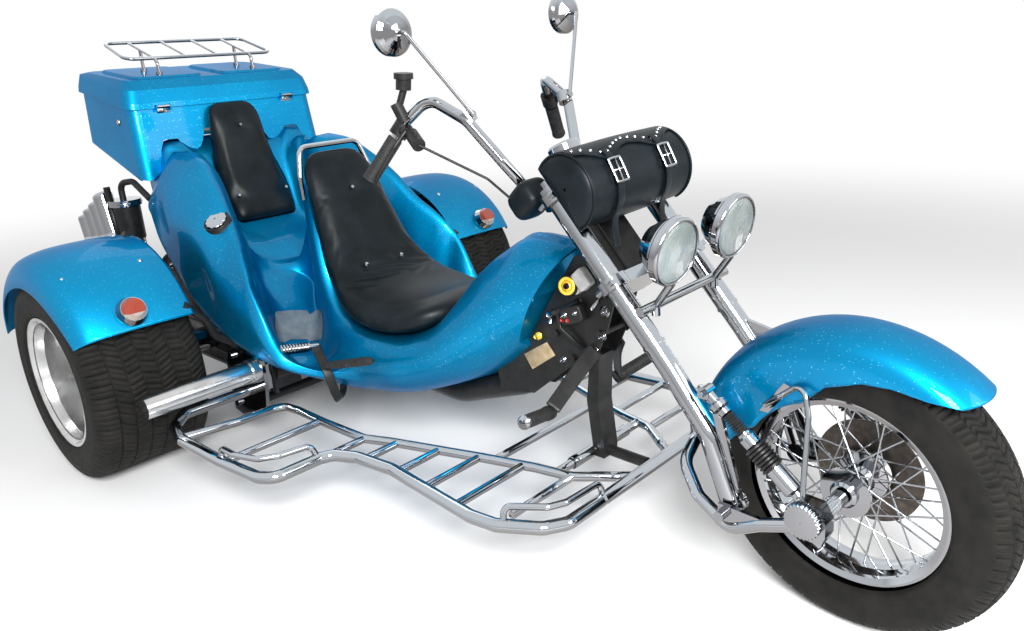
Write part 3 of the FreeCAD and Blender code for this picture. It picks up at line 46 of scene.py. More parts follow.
midX = 0.881  # rear axle to the middle of the box
rearWheel = {"up": 0.324, "side": 0.6975}
frontWheel = np.array([2.144, 0.0, 0.333])
rake = math.radians(41.65)
steerTurn = math.radians(-4.9)
headAxis = np.array([-math.sin(rake), 0.0, math.cos(rake)])
headPoint = np.array([1.385, 0.0, 0.9])
ahead = np.array([math.cos(rake), 0.0, math.sin(rake)])
sideways = np.array([0.0, 1.0, 0.0])
fullTurn = 2 * math.pi


def inRow(points, sign=1):  # from the rear axle's frame to the row frame; sign -1 mirrors to the right
    return np.asarray(points, float) * [1, sign, 1] - np.array([midX, 0.0, 0.0])


def onFork(points, sign=1):  # the same for what steers: turned about the head by the angle seen
    p = np.asarray(points, float) * [1, sign, 1] - headPoint
    kept = (p @ headAxis)[..., None] * headAxis
    turned = (p - kept) * math.cos(steerTurn) + np.cross(headAxis, p) * math.sin(steerTurn) + kept
    return inRow(turned + headPoint)


def show(obj):
    bpy.context.scene.collection.objects.link(obj)


class Sock:
    def __init__(self, tree, out):
        self.tree = tree
        self.out = out

    def math(self, kind, *others, flip=False):
        node = self.tree.nodes.new("ShaderNodeMath")
        node.operation = kind
        values = [self, *others]
        if flip:
            values = values[::-1]
        for socket, value in zip(node.inputs, values):
            plug(self.tree, socket, value)
        return Sock(self.tree, node.outputs[0])

    def __add__(self, o): return self.math("ADD", o)
    def __radd__(self, o): return self.math("ADD", o, flip=True)
    def __sub__(self, o): return self.math("SUBTRACT", o)
    def __rsub__(self, o): return self.math("SUBTRACT", o, flip=True)
    def __mul__(self, o): return self.math("MULTIPLY", o)
    def __rmul__(self, o): return self.math("MULTIPLY", o, flip=True)
    def __gt__(self, o): return self.math("GREATER_THAN", o)
    def __lt__(self, o): return self.math("LESS_THAN", o)


def plug(tree, socket, value):
    if isinstance(value, Sock):
        tree.links.new(value.out, socket)
    else:
        socket.default_value = value


class Look:
    def __init__(self, name):
        self.mat = bpy.data.materials.new(name)
        self.mat.use_nodes = True
        self.tree = self.mat.node_tree
        self.shader = self.tree.nodes["Principled BSDF"]

    def node(self, kind, settings=None, output=0, **values):
        node = self.tree.nodes.new(kind)
        for key, value in (settings or {}).items():
            if key == "stops":
                ramp = node.color_ramp
                while len(ramp.elements) < len(value):
                    ramp.elements.new(0.5)
                for element, (place, colour) in zip(ramp.elements, value):
                    element.position = place
                    element.color = (*colour, 1.0)
            else:
                setattr(node, key, value)
        for key, value in values.items():
            numbered = key[0] == "i" and key[1:].isdigit()
            plug(self.tree, node.inputs[int(key[1:]) if numbered else key.replace("_", " ")], value)
        return Sock(self.tree, node.outputs[output])

    def coords(self):
        return self.node("ShaderNodeTexCoord", output=3)

    def noise(self, scale, detail=3.0):
        return self.node("ShaderNodeTexNoise", Vector=self.coords(), Scale=scale, Detail=detail)

    def bands(self, scale):
        kind = {"wave_type": "BANDS", "bands_direction": "Y"}
        return self.node("ShaderNodeTexWave", kind, output=1, Vector=self.coords(), Scale=scale)

    def ramp(self, value, stops):
        return self.node("ShaderNodeValToRGB", {"stops": stops}, Fac=value)

    def mix(self, share, a, b):
        return self.node("ShaderNodeMix", {"data_type": "RGBA"}, output=2, i0=share, i6=a, i7=b)

    def bump(self, height, strength, distance=0.001):
        return self.node("ShaderNodeBump", Height=height, Strength=strength, Distance=distance)

    def put(self, **values):
        for key, value in values.items():
            plug(self.tree, self.shader.inputs[key.replace("_", " ")], value)
        return self


def grey(v):
    return (v, v, v)


print("materials")
looks = {}

paint = {"deep": (0.0, 0.17, 0.36), "pale": (0.0, 0.25, 0.48), "grain": (0.0, 0.28, 0.52, 1),
         "flake": (0.12, 0.6, 0.9, 1), "flakeSize": 300.0, "dot": 0.3, "share": 0.92}
m = Look("flakeBlue")
tone = m.ramp(m.noise(2.2, 2.0), [(0.35, paint["deep"]), (0.65, paint["pale"])])
flakes = {"Vector": m.coords(), "Scale": paint["flakeSize"]}
near = m.node("ShaderNodeTexVoronoi", **flakes) < paint["dot"]
chance = m.node("ShaderNodeSeparateColor", Color=m.node("ShaderNodeTexVoronoi", output=1, **flakes))
spark = near * (chance > paint["share"])
fine = m.noise(900.0, 2.0)
m.put(Base_Color=m.mix(spark, m.mix(fine * 0.35, tone, paint["grain"]), paint["flake"]),
      Metallic=0.86 + spark * 0.1, Roughness=0.44 - spark * 0.18, Normal=m.bump(fine, 0.05, 0.0004),
      Coat_Weight=m.noise(3.0) * 0.1 + 0.2, Coat_Roughness=0.04,
      Specular_IOR_Level=0.25, Specular_Tint=(0.01, 0.28, 0.5, 1.0))
looks["flake_blue"] = m.mat

# chrome: painted reflection, its tone set by the way a face looks: a ground tone on faces turned down, a
# level tone, and a sky tone on faces turned up
plate = {"low": (0.17, 0.145, 0.125), "level": (0.24, 0.24, 0.25), "high": (0.5, 0.54, 0.58)}
m = Look("chromePlate")
# painted reflection: the upward share of the face's normal picks the ground, level or sky tone
up = m.node("ShaderNodeSeparateXYZ", output=2, Vector=m.node("ShaderNodeTexCoord", output=1)) * 0.5 + 0.5
stops = [(0.1, plate["low"]), (0.4, plate["level"]), (0.56, plate["level"]), (0.74, plate["high"])]
m.put(Base_Color=m.ramp(up + m.noise(5.0) * 0.1 - 0.05, stops), Metallic=1.0,
      Roughness=m.noise(38.0, 5.0) * 0.07 + 0.03, Normal=m.bump(m.noise(14.0, 2.0), 0.012, 0.002))
looks["chrome"] = m.mat


def plain(look, name, tone, colours, rough, bump=None, metallic=0.0, specular=0.5):
    # two colours over a noise, roughness = noise * share + least, and a fine bump; a noise is (scale, detail)
    m = Look(name)
    m.put(Base_Color=m.ramp(m.noise(*tone), colours), Metallic=metallic, Specular_IOR_Level=specular,
          Roughness=m.noise(*rough[:2]) * rough[2] + rough[3])
    if bump:
        m.put(Normal=m.bump(m.noise(*bump[:2]), *bump[2:]))
    looks[look] = m.mat


plain("polished", "polishedAluminium", (14, 6), [(0.3, grey(0.52)), (0.7, grey(0.68))],
      (60, 6, 0.18, 0.12), (320, 3, 0.05, 0.0005), metallic=1.0)
plain("frame_black", "frameBlack", (30, 6), [(0.3, grey(0.005)), (0.7, grey(0.015))],
      (80, 4, 0.3, 0.25), (420, 3, 0.12, 0.0006), specular=0.25)
plain("engine_metal", "oilyCastMetal", (18, 8), [(0.3, grey(0.03)), (0.72, (0.12, 0.115, 0.11))],
      (50, 6, 0.4, 0.35), (260, 6, 0.4, 0.001), metallic=0.6)
plain("tyre_rubber", "tyreRubber", (22, 7), [(0.3, grey(0.004)), (0.75, (0.013, 0.012, 0.01))],
      (70, 5, 0.3, 0.55), (900, 3, 0.25, 0.0006), specular=0.18)
plain("grip_rubber", "gripRubber", (60, 3), [(0.3, grey(0.014)), (0.7, grey(0.03))],
      (120, 3, 0.3, 0.4), (1500, 3, 0.2, 0.0004), specular=0.2)
plain("brass", "brassPlate", (40, 6), [(0.3, (0.42, 0.31, 0.18)), (0.7, (0.66, 0.52, 0.34))],
      (90, 3, 0.3, 0.25), metallic=0.8)
plain("patch", "heelPatch", (26, 7), [(0.3, (0.1, 0.14, 0.17)), (0.7, (0.2, 0.23, 0.25))],
      (120, 5, 0.3, 0.35), (700, 3, 0.3, 0.0006), metallic=0.3)
plain("mirror", "mirrorGlass", (3, 3), [(0.3, grey(0.8)), (0.7, grey(0.88))],
      (8, 3, 0.02, 0.01), metallic=1.0)
plain("red", "redPlastic", (50, 3), [(0.3, (0.35, 0.02, 0.01)), (0.7, (0.55, 0.04, 0.02))], (90, 3, 0.2, 0.3))
plain("yellow", "yellowBrass", (50, 3), [(0.3, (0.75, 0.42, 0.02)), (0.7, (0.9, 0.6, 0.08))],
      (90, 3, 0.2, 0.2), metallic=0.3)
plain("grey_box", "greyBox", (40, 5), [(0.3, grey(0.3)), (0.7, grey(0.44))], (120, 3, 0.3, 0.35))
plain("iron", "brakeIron", (70, 6), [(0.3, (0.055, 0.045, 0.038)), (0.7, (0.12, 0.1, 0.085))],
      (150, 4, 0.2, 0.3), metallic=0.8)

m = Look("blackLeather")
pores = m.node("ShaderNodeTexVoronoi", Vector=m.coords(), Scale=620.0)
folds = m.noise(16.0, 5.0)
m.put(Base_Color=m.ramp(folds, [(0.3, (0.001, 0.003, 0.004)), (0.75, (0.006, 0.01, 0.013))]),
      Roughness=pores * 0.18 + 0.3, Normal=m.bump(pores * 0.5 + folds * 0.6, 0.2, 0.0009),
      Specular_IOR_Level=0.17)
looks["leather"] = m.mat

lens = {"split": 0.5745, "upper": (0.25, 0.022, 0.003, 1), "lower": (0.3, 0.25, 0.22, 1)}
m = Look("amberLens")
upper = m.node("ShaderNodeSeparateXYZ", output=2, Vector=m.coords()) > lens["split"]
ribs = m.bands(90.0)
m.put(Base_Color=m.mix(upper, lens["lower"], lens["upper"]), Roughness=ribs * 0.08 + 0.06,
      Normal=m.bump(ribs, 0.5), Coat_Weight=0.8)
looks["amber"] = m.mat

m = Look("lampGlass")
flutes = m.bands(34.0)
m.put(Base_Color=m.ramp(m.noise(9.0), [(0.35, (0.16, 0.2, 0.19)), (0.65, (0.34, 0.38, 0.37))]),
      Roughness=flutes * 0.05 + 0.03, Alpha=m.noise(7.0) * 0.25 + 0.4, Normal=m.bump(flutes, 0.45),
      Coat_Weight=1.0)
looks["lamp_glass"] = m.mat


# meshes as (points, faces)
def sheetOf(points, wrapU=False, wrapV=False):
    # a grid of points as quads; u runs along the first index, v along the second
    nu, nv = points.shape[:2]
    index = np.arange(nu * nv).reshape(nu, nv)
    if wrapU:
        index = np.vstack([index, index[:1]])
    if wrapV:
        index = np.hstack([index, index[:, :1]])
    faces = np.stack([index[:-1, :-1], index[1:, :-1], index[1:, 1:], index[:-1, 1:]], -1).reshape(-1, 4)
    return points.reshape(-1, 3), faces.tolist()


def tubeOf(grid):
    # rings of points, closed round, with a face over each end
    rows, sides = grid.shape[:2]
    points, faces = sheetOf(grid, wrapV=True)
    faces.append(list(range(sides))[::-1])
    faces.append([(rows - 1) * sides + k for k in range(sides)])
    return points, faces


def joined(parts):
    points = []
    faces = []
    count = 0
    for p, f in parts:
        points.append(p)
        faces += [[i + count for i in face] for face in f]
        count += len(p)
    return np.vstack(points), faces


def flipped(part):
    return part[0], [face[::-1] for face in part[1]]


def circle(count):
    return np.linspace(0, fullTurn, count, endpoint=False)


def unit(v):
    v = np.asarray(v, float)
    return v / np.linalg.norm(v)


def frameOf(direction):
    d = unit(direction)
    a = unit(np.cross(d, [0.0, 0.0, 1.0] if abs(d[2]) < 0.9 else [0.0, 1.0, 0.0]))
    return d, a, np.cross(d, a)


def lathe(start, end, profile, sides=32):
    # (share along, radius) turned about the line from start to end: p = a + t d + r (cos, sin)
    start = np.asarray(start, float)
    run = np.asarray(end, float) - start
    d, a, b = frameOf(run)
    t = np.array([q[0] for q in profile])[:, None, None] * np.linalg.norm(run)
    r = np.array([q[1] for q in profile])[:, None, None]
    angle = circle(sides)[None, :, None]
    return flipped(tubeOf(start + t * d + r * (np.cos(angle) * a + np.sin(angle) * b)))


def band(radius, edge=0.001, share=0.2):  # a profile with its ends drawn in
    return [(0.0, radius - edge), (share, radius), (1.0 - share, radius), (1.0, radius - edge)]


def ribbed(ribs, low, high, level, per=6):  # a profile of low radius, ribbed where a sine is over the level
    t = np.linspace(0, 1, ribs * per + 1)
    return list(zip(t, low + high * (np.sin(t * ribs * fullTurn) > level)))


def smoothLine(points, count, closed=False):
    # Catmull-Rom through the points, sampled evenly in the parameter
    p = np.asarray(points, float)
    n = len(p)
    if closed:
        t = np.linspace(0, n, count, endpoint=False)
        pick = lambda k: p[k % n]
    else:
        t = np.linspace(0, n - 1, count)
        ends = np.vstack([2 * p[0] - p[1], p, 2 * p[-1] - p[-2]])
        pick = lambda k: ends[np.clip(k + 1, 0, n + 1)]
    k = np.floor(t).astype(int)
    if not closed:
        k = np.minimum(k, n - 2)
    s = (t - k)[:, None]
    a, b, c, d = pick(k - 1), pick(k), pick(k + 1), pick(k + 2)
    bend = 2 * a - 5 * b + 4 * c - d
    return 0.5 * (2 * b + (c - a) * s + bend * s ** 2 + (3 * b - a - 3 * c + d) * s ** 3)


def squared(w, power):  # the sign of w with its size raised to the power: towards a square for small powers
    return np.sign(w) * np.abs(w) ** power


def along(path, radius, sides=12, closed=False, flat=None):
    # a round or flattened profile carried along a line, its frame turned as little as possible
    path = np.asarray(path, float)
    step = np.roll(path, -1, 0) - np.roll(path, 1, 0)
    if not closed:
        step[0] = path[1] - path[0]
        step[-1] = path[-1] - path[-2]
    tangent = step / np.linalg.norm(step, axis=1)[:, None]
    normal = np.zeros_like(path)
    normal[0] = frameOf(tangent[0])[1] if flat is None else unit(flat - tangent[0] * (flat @ tangent[0]))
    for i in range(1, len(path)):
        v = normal[i - 1] - tangent[i] * (normal[i - 1] @ tangent[i])
        normal[i] = v / np.linalg.norm(v)
    other = np.cross(tangent, normal)
    angle = circle(sides)[None, :, None]
    wide, thick = (radius, radius) if flat is None else radius
    power = 1.0 if flat is None else 0.35
    c = squared(np.cos(angle), power)
    s = squared(np.sin(angle), power)
    grid = path[:, None] + thick * c * normal[:, None] + wide * s * other[:, None]
    return sheetOf(grid, wrapU=True, wrapV=True) if closed else tubeOf(grid)


def slab(corners, thick):
    # flat outline given a thickness along its own normal
    p = np.asarray(corners, float)
    n = unit(np.cross(p[1] - p[0], p[2] - p[1]))
    k = len(p)
    faces = [list(range(k))[::-1], [k + i for i in range(k)]]
    faces += [[i, (i + 1) % k, k + (i + 1) % k, k + i] for i in range(k)]
    return np.vstack([p - n * thick / 2, p + n * thick / 2]), faces


def blob(centre, axes, power=(0.5, 0.5), counts=(24, 32)):
    # rounded box: superellipsoid with the half sizes along three axes
    u = np.linspace(-math.pi / 2, math.pi / 2, counts[0])[:, None, None]
    v = circle(counts[1])[None, :, None]
    cu, su = squared(np.cos(u), power[0]), squared(np.sin(u), power[0])
    cv, sv = squared(np.cos(v), power[1]), squared(np.sin(v), power[1])
    a, b, c = [np.asarray(q, float) for q in axes]
    grid = np.asarray(centre, float) + cu * cv * a + cu * sv * b + su * c
    return sheetOf(grid, wrapV=True)


def piece(name, part, look, body="chassis", slotName=None, bevel=0.0, replaced=()):
    # part is one (points, faces) or a list of them
    points, faces = joined(part) if isinstance(part, list) else part
    mesh = bpy.data.meshes.new(name)
    mesh.from_pydata(points.tolist(), [], faces)
    mesh.validate()
    mesh.update()
    mesh.polygons.foreach_set("use_smooth", np.full(len(mesh.polygons), True))
    mesh.materials.append(looks[look])
    obj = bpy.data.objects.new(name, mesh)
    show(obj)
    if bevel:
        mod = obj.modifiers.new("edges", "BEVEL")
        mod.width = bevel
        mod.segments = 2
        mod.limit_method = "ANGLE"
    if look in slotOf.values():
        slotName = slotName or look
    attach(obj, body)
    if replaced:
        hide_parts(*replaced)
    return obj


print("finishes on the frame's nodes")
for nodeName, node in nodes.items():
    if len(node.data.materials) == 0:
        node.data.materials.append(looks[slotOf[nodeName]])
    for holder in node.material_slots:
        holder.material = looks[slotOf[nodeName]]

# tyres: blocks stand between ring grooves and cross grooves; cut is the cross groove's share of the pitch
print("tyres")
rearTyre = {"radius": 0.324, "rim": 0.2078, "half": 0.1745, "pitches": 56, "deep": 0.0065,
            "grooves": (-0.112, -0.068, -0.023, 0.023, 0.068, 0.112), "grooveHalf": 0.003, "slant": 0.9,
            "cut": 0.11, "shoulder": [(0.018, 0.011), (0.008, 0.021), (0.003, 0.036), (0.0, 0.08)]}
frontTyre = {"radius": 0.333, "rim": 0.2167, "half": 0.066, "pitches": 66, "deep": 0.006,
             "grooves": (-0.04, -0.014, 0.014, 0.04), "grooveHalf": 0.0024, "slant": 1.0,
             "cut": 0.16, "shoulder": [(0.02, 0.013), (0.009, 0.026), (0.003, 0.04), (0.0, 0.058)]}


def tyre(s):
    # round profile of the tyre: p = r(w, angle), r lowered by the deeper of the ring and the cross grooves;
    # each ring of blocks has its own phase, and the grid leans with the cross grooves to keep edges sharp
    radius, half, grooves = s["radius"], s["half"], np.array(s["grooves"])
    rim = s["rim"]
    side = [(rim + 0.002, half - 0.012), (rim + 0.008, half - 0.004), (rim + 0.02, half - 0.001),
            (radius - 0.075, half - 0.0005), (radius - 0.055, half), (radius - 0.034, half - 0.004)]
    side += [(radius - down, half - aside) for down, aside in s["shoulder"]]
    curve = smoothLine(side + [(radius, 0.0)], 60)
    w = curve[:, 1]
    edgeSteps = s["grooveHalf"] * np.array([-1.5, -1.0, -0.7, 0.7, 1.0, 1.5])
    ringW = np.unique(np.append(np.linspace(0, w[w.size // 2], 20), np.abs(grooves)[:, None] + edgeSteps))
    ringW = ringW[(ringW >= 0) & (ringW < half - 0.03)]
    order = np.argsort(w)
    crown = np.interp(ringW, w[order], curve[order, 0])
    crown[ringW < half - 0.08] = radius if half > 0.1 else crown[ringW < half - 0.08]
    keepSide = curve[w > ringW.max() + 0.003]
    right = np.vstack([keepSide, np.stack([crown, ringW], 1)[::-1]])
    r0, w0 = np.vstack([right, right[:-1][::-1] * [1, -1]]).T
    phases = np.array([0.0, 0.02, s["cut"] - 0.02, s["cut"], 0.4, 0.52, 0.545, 0.565, 0.8])
    deep = np.array([0.0, 1.0, 1.0, 0.0, 0.0, 0.0, 0.45, 0.0, 0.0])
    n = s["pitches"]
    pitch = fullTurn / n
    theta = ((np.arange(n)[:, None] + phases[None, :]).ravel() / n * fullTurn)[:, None]
    lateral = np.tile(deep, n)[:, None]
    ring = np.searchsorted(grooves, w0)
    edges = np.concatenate([[-half], grooves, [half]])
    local = (w0 - edges[ring]) / (edges[ring + 1] - edges[ring]) - 0.5
    zigzag = s["slant"] * 0.45 * local * np.where(ring % 2 == 0, 1, -1)
    lean = pitch * (zigzag + 0.5 * (ring % 2) + 0.9 * (w0 / half) ** 2)
    gap = np.min(np.abs(w0[:, None] - grooves[None, :]), 1)
    around = np.clip((s["grooveHalf"] * 1.02 - gap) / (s["grooveHalf"] * 0.28), 0, 1)
    tread = np.clip((r0 - (radius - 0.034)) / 0.008, 0, 1)
    depth = np.maximum(around[None, :], lateral * tread[None, :]) * tread[None, :] * s["deep"]
    ribs = 0.0006 * np.clip(np.sin(r0 * 900.0), 0, 1) * (r0 < radius - 0.05) * (r0 > rim + 0.012)
    r = r0[None, :] - depth
    outer = np.clip((np.abs(w0) - half + 0.03) / 0.03, 0, 1)[None, :]
    wide = w0[None, :] - np.sign(w0)[None, :] * (depth * outer + ribs)
    angle = theta + lean[None, :]
    return np.stack([r * np.cos(angle), wide, r * np.sin(angle)], -1)


for word, sign in (("Right", -1), ("Left", 1)):
    grid = inRow(tyre(rearTyre) + [0.0, sign * rearWheel["side"], rearWheel["up"]])
    piece("rearTread" + word, sheetOf(grid, wrapU=True), "tyre_rubber", "rear_wheel_" + word.lower(),
          replaced=["rear_tyre_" + word.lower()])
piece("frontTread", sheetOf(onFork(tyre(frontTyre) + frontWheel), wrapU=True), "tyre_rubber", "front_wheel",
      replaced=["front_tyre"])

# seats
print("seats")
seat = {"voxel": 0.006, "frames": 14, "pressure": 3.0, "cap": 0.008, "shrink": 0.004, "stretch": 40.0,
        "bend": 8.0}


def corners(mesh, kind="co"):
    values = np.empty(len(mesh.vertices) * 3)
    mesh.vertices.foreach_get(kind, values)
    return values.reshape(-1, 3)


def moveTo(mesh, points):
    mesh.vertices.foreach_set("co", points.ravel())
    mesh.update()


def finished(obj):
    return obj.evaluated_get(bpy.context.evaluated_depsgraph_get())


def applied(obj):  # the mesh as its modifiers make it
    mesh = bpy.data.meshes.new_from_object(finished(obj))
    obj.modifiers.clear()
    obj.data = mesh
    return mesh


def plumped(nodeName, newName):
    # the seat's solid, remeshed and blown up as a cloth skin over foam
    obj = nodes[nodeName].copy()
    obj.data = nodes[nodeName].data.copy()
    obj.name = newName
    for key in list(obj.keys()):
        del obj[key]
    obj.parent = None
    show(obj)
    mod = obj.modifiers.new("skin", "REMESH")
    mod.mode = "VOXEL"
    mod.voxel_size = seat["voxel"]
    mesh = applied(obj)
    rest = corners(mesh) - corners(mesh, "normal") * seat["shrink"]
    moveTo(mesh, rest)
    grown = rest
    cloth = obj.modifiers.new("foam", "CLOTH")
    cloth.settings.use_pressure = True
    cloth.settings.uniform_pressure_force = seat["pressure"]
    cloth.settings.effector_weights.gravity = 0.0
    cloth.settings.tension_stiffness = seat["stretch"]
    cloth.settings.compression_stiffness = seat["stretch"]
    cloth.settings.bending_stiffness = seat["bend"]
    cloth.point_cache.frame_end = seat["frames"]
    for k in range(1, seat["frames"] + 1):
        bpy.context.scene.frame_set(k)
    grown = corners(finished(obj).data)
    obj.modifiers.clear()
    bpy.context.scene.frame_set(1)
    move = grown - rest
    far = np.linalg.norm(move, axis=1)[:, None]
    return obj, rest + move * np.minimum(1.0, seat["cap"] / np.maximum(far, 1e-9))


def tufted(points, buttons, pull, reach):
    # each button draws the skin in along its own direction: a bell of the distance from it
    out = points.copy()
    for at, way in buttons:
        d = np.linalg.norm(points - at, axis=1)[:, None]
        out -= np.asarray(way) * pull * np.exp(-(d / reach) ** 2)
    return out


buttonPoints = np.array([v.co[:] for v in nodes["seat_buttons"].data.vertices])


def buttonsNear(guesses, way):
    # the middle of the CAD button nearest to each guess
    found = []
    for guess in guesses:
        near = buttonPoints[np.linalg.norm(buttonPoints - inRow(guess), axis=1) < 0.05]
        if len(near):
            found.append((near.mean(0), unit(way)))
    return found


def dressSeat(nodeName, newName, guesses, way, pull, reach):
    obj, points = plumped(nodeName, newName)
    moveTo(obj.data, tufted(points, buttonsNear(guesses, way), pull, reach))
    obj.modifiers.new("relax", "SMOOTH").iterations = 6
    mesh = applied(obj)
    mesh.polygons.foreach_set("use_smooth", np.full(len(mesh.polygons), True))
    mesh.materials.clear()
    mesh.materials.append(looks["leather"])
    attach(obj, "chassis")
    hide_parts(nodeName)


dressSeat("front_seat", "frontSeatSkin", [(0.557, -0.071, 0.569), (0.557, 0.071, 0.569), (0.441, 0.0, 0.829)],
          (0.7, 0, 0.7), 0.01, 0.035)
dressSeat("rear_seat", "rearSeatSkin",
          [(-0.226, 0.0, 1.007), (-0.133, -0.097, 0.764), (-0.133, 0.097, 0.764)],
          (0.95, 0, 0.3), 0.009, 0.032)

# roll bag
print("bag")
bag = {"centre": (1.52, 0.0, 0.94), "radius": 0.092, "half": 0.182, "back": 0.022, "flap": 0.0032,
       "flapFrom": math.radians(118.0), "flapHalf": 0.176, "studs": 17, "strapAt": (-0.088, 0.088),
       "strapWide": 0.012, "buckleAt": math.radians(-14.0), "buckle": (0.019, 0.027)}
bagCentre = np.array(bag["centre"])


def bagPoint(angle, y, out=0.0):
    # the D-shaped section: an arc of the radius round the front, closed by the flat back
    angle, y = np.broadcast_arrays(np.asarray(angle, float), np.asarray(y, float))
    sag = 0.004 * np.cos(np.pi * y / 0.36) * np.sin(angle * 2.0)
    r = bag["radius"] + out + sag - 0.003
    front = np.maximum(np.cos(angle) * r, -bag["back"])[..., None]
    high = (np.sin(angle) * r)[..., None]
    return bagCentre + front * ahead + high * headAxis + y[..., None] * sideways


def bagRing(y, shrink, count=72):
    middle = bagCentre + ahead * 0.02 + sideways * y
    ring = bagPoint(np.linspace(-math.pi, math.pi, count, endpoint=False), y)
    return middle + (ring - middle) * shrink


ends = [(-0.01, 0.05), (-0.009, 0.45), (-0.006, 0.78), (-0.001, 0.93), (0.006, 1.0)]
ends = [(-bag["half"] + out, share) for out, share in ends]
rows = ends + [(y, 1.0) for y in np.linspace(-0.168, 0.168, 25)] + [(-y, s) for y, s in ends[::-1]]
rings = np.stack([bagRing(y, s) for y, s in rows])
bagObj = piece("bagShell", sheetOf(onFork(rings), wrapV=True), "leather", "fork", replaced=["roll_bag"])
piece("bagPiping", [along(onFork(bagRing(y, 1.012)), 0.0032, 8, closed=True)
                    for y in (-bag["half"] + 0.004, bag["half"] - 0.004)], "leather", "fork")


def flapEdge(y):  # low points of the flap at the straps, high ones between them and at the ends
    return np.interp(np.abs(y), [0.0, 0.03, 0.088, 0.15, 0.178], np.radians([24.0, 20.0, 2.0, 26.0, 30.0]))


y = np.linspace(-bag["flapHalf"], bag["flapHalf"], 61)[:, None]
t = np.linspace(0, 1, 28)[None, :]
angle = bag["flapFrom"] + (flapEdge(y) - bag["flapFrom"]) * t
flap = np.concatenate([bagPoint(angle, y, 0.0012), bagPoint(angle, y, bag["flap"] + 0.0015)[:, ::-1]], 1)
piece("bagFlap", sheetOf(onFork(flap), wrapV=True), "leather", "fork")
y = np.linspace(-0.172, 0.172, 90)
hem = bagPoint(flapEdge(y) + 0.02, y, bag["flap"] + 0.002)
piece("bagFlapHem", along(onFork(hem), 0.0016, 8), "leather", "fork")
studs = []
for k in range(bag["studs"]):
    y = -0.16 + 0.02 * k
    angle = flapEdge(y) + math.radians(13.0)
    foot, head = [onFork(bagPoint(angle, y, bag["flap"] + out)) for out in (0.0, 0.005)]
    studs.append(lathe(foot, head, [(0.0, 0.0042), (0.45, 0.004), (0.8, 0.0028), (1.0, 0.0006)], 12))
piece("bagStuds", studs, "chrome", "fork")
straps = []
buckles = []
for y in bag["strapAt"]:
    line = bagPoint(np.radians(np.linspace(24.0, -84.0, 40)), y, 0.0062)
    tail = smoothLine([line[-1], line[-1] - [0.004, 0, 0.03], line[-1] - [-0.006, 0.002, 0.075]], 10)[1:]
    straps.append(along(onFork(np.vstack([line, tail])), (bag["strapWide"], 0.0016), 12, flat=ahead))
    c = bagPoint(bag["buckleAt"], y, 0.0098)
    out = unit(bagPoint(bag["buckleAt"], y, 0.02) - bagPoint(bag["buckleAt"], y))
    wide = sideways * bag["buckle"][0]
    tall = np.cross(out, sideways) * bag["buckle"][1]
    turns = ((-1, -0.8), (-0.8, -1), (0.8, -1), (1, -0.8), (1, 0.8), (0.8, 1), (-0.8, 1), (-1, 0.8))
    loop = smoothLine([c + wide * a + tall * b for a, b in turns], 48, closed=True)
    buckles.append(along(onFork(loop), 0.0034, 8, closed=True))
    pin = np.cross(out, sideways) * 0.026
    buckles.append(along(onFork([c - pin, c + pin + out * 0.003]), 0.0022, 8))
    buckles.append(along(onFork([c - wide, c + wide]), 0.0025, 8))
piece("bagStraps", straps, "leather", "fork")
piece("bagBuckles", buckles, "chrome", "fork")
points, faces = blob((1.325, -0.101, 0.891), (ahead * 0.05, sideways * 0.047, headAxis * 0.04), (0.55, 0.6))
piece("smallPouch", (onFork(points), faces), "leather", "fork")

# lamps
print("lamps")
lamp = {"at": (1.777, 0.114, 0.825), "axis": (0.985, 0.0, -0.17),
        "rim": [(0.0, 0.0735), (0.02, 0.0775), (0.35, 0.078), (0.75, 0.0772), (0.95, 0.0745), (1.0, 0.0712),
                (0.9, 0.0702), (0.6, 0.07)],
        "glass": [(0.0, 0.07), (0.25, 0.069), (0.55, 0.06), (0.8, 0.043), (0.95, 0.022), (1.0, 0.002)]}


def onLamps(start, end, profile):  # the same turned shape on both lamps, from start to end along their axis
    axis = unit(lamp["axis"])
    places = [np.array(lamp["at"]) * [1, sign, 1] for sign in (-1, 1)]
    return [lathe(onFork(c + axis * start), onFork(c + axis * end), profile, 64) for c in places]


piece("lampRims", onLamps(-0.016, 0.007, lamp["rim"]), "chrome", "fork")
piece("lampGlasses", onLamps(0.0015, 0.0135, lamp["glass"]), "lamp_glass", "fork",
      replaced=["headlamp_lenses"])
piece("lampMirrors", onLamps(0.0003, 0.0012, [(0.0, 0.069), (1.0, 0.069)]), "mirror", "fork", "chrome")

# fenders: the turned surfaces of the solids, with the profile drawn smooth
print("fenders")
rearFender = {"x": -0.03, "z": 0.324, "angles": (29.5, 166.5), "wall": 0.004,
              "profile": [(0.396, 0.54), (0.402, 0.62), (0.402, 0.72), (0.396, 0.79), (0.38, 0.842),
                          (0.352, 0.868), (0.32, 0.878), (0.28, 0.879)]}
frontFender = {"radius": 0.372, "half": 0.09, "wall": 0.003, "angles": (48.4, 175.0), "tip": 0.052,
               "skirt": [(-0.36, 0.0), (-0.3, 0.03), (-0.262, 0.05), (-0.216, 0.103), (-0.196, 0.112),
                         (-0.15, 0.142), (-0.104, 0.15), (-0.072, 0.211), (-0.022, 0.257), (0.06, 0.282),
                         (0.125, 0.281), (0.19, 0.266), (0.262, 0.262), (0.33, 0.268)]}


def shell(outside, inside):
    # two grids closed all round into a thin wall
    points, faces = sheetOf(np.concatenate([outside, inside[:, ::-1]], 1), wrapV=True)
    n = outside.shape[1]
    last = (outside.shape[0] - 1) * 2 * n
    for j in range(n - 1):
        faces.append([j + 1, j, 2 * n - 1 - j, 2 * n - 2 - j][::-1])
        faces.append([last + j, last + j + 1, last + 2 * n - 2 - j, last + 2 * n - 1 - j][::-1])
    return points, faces


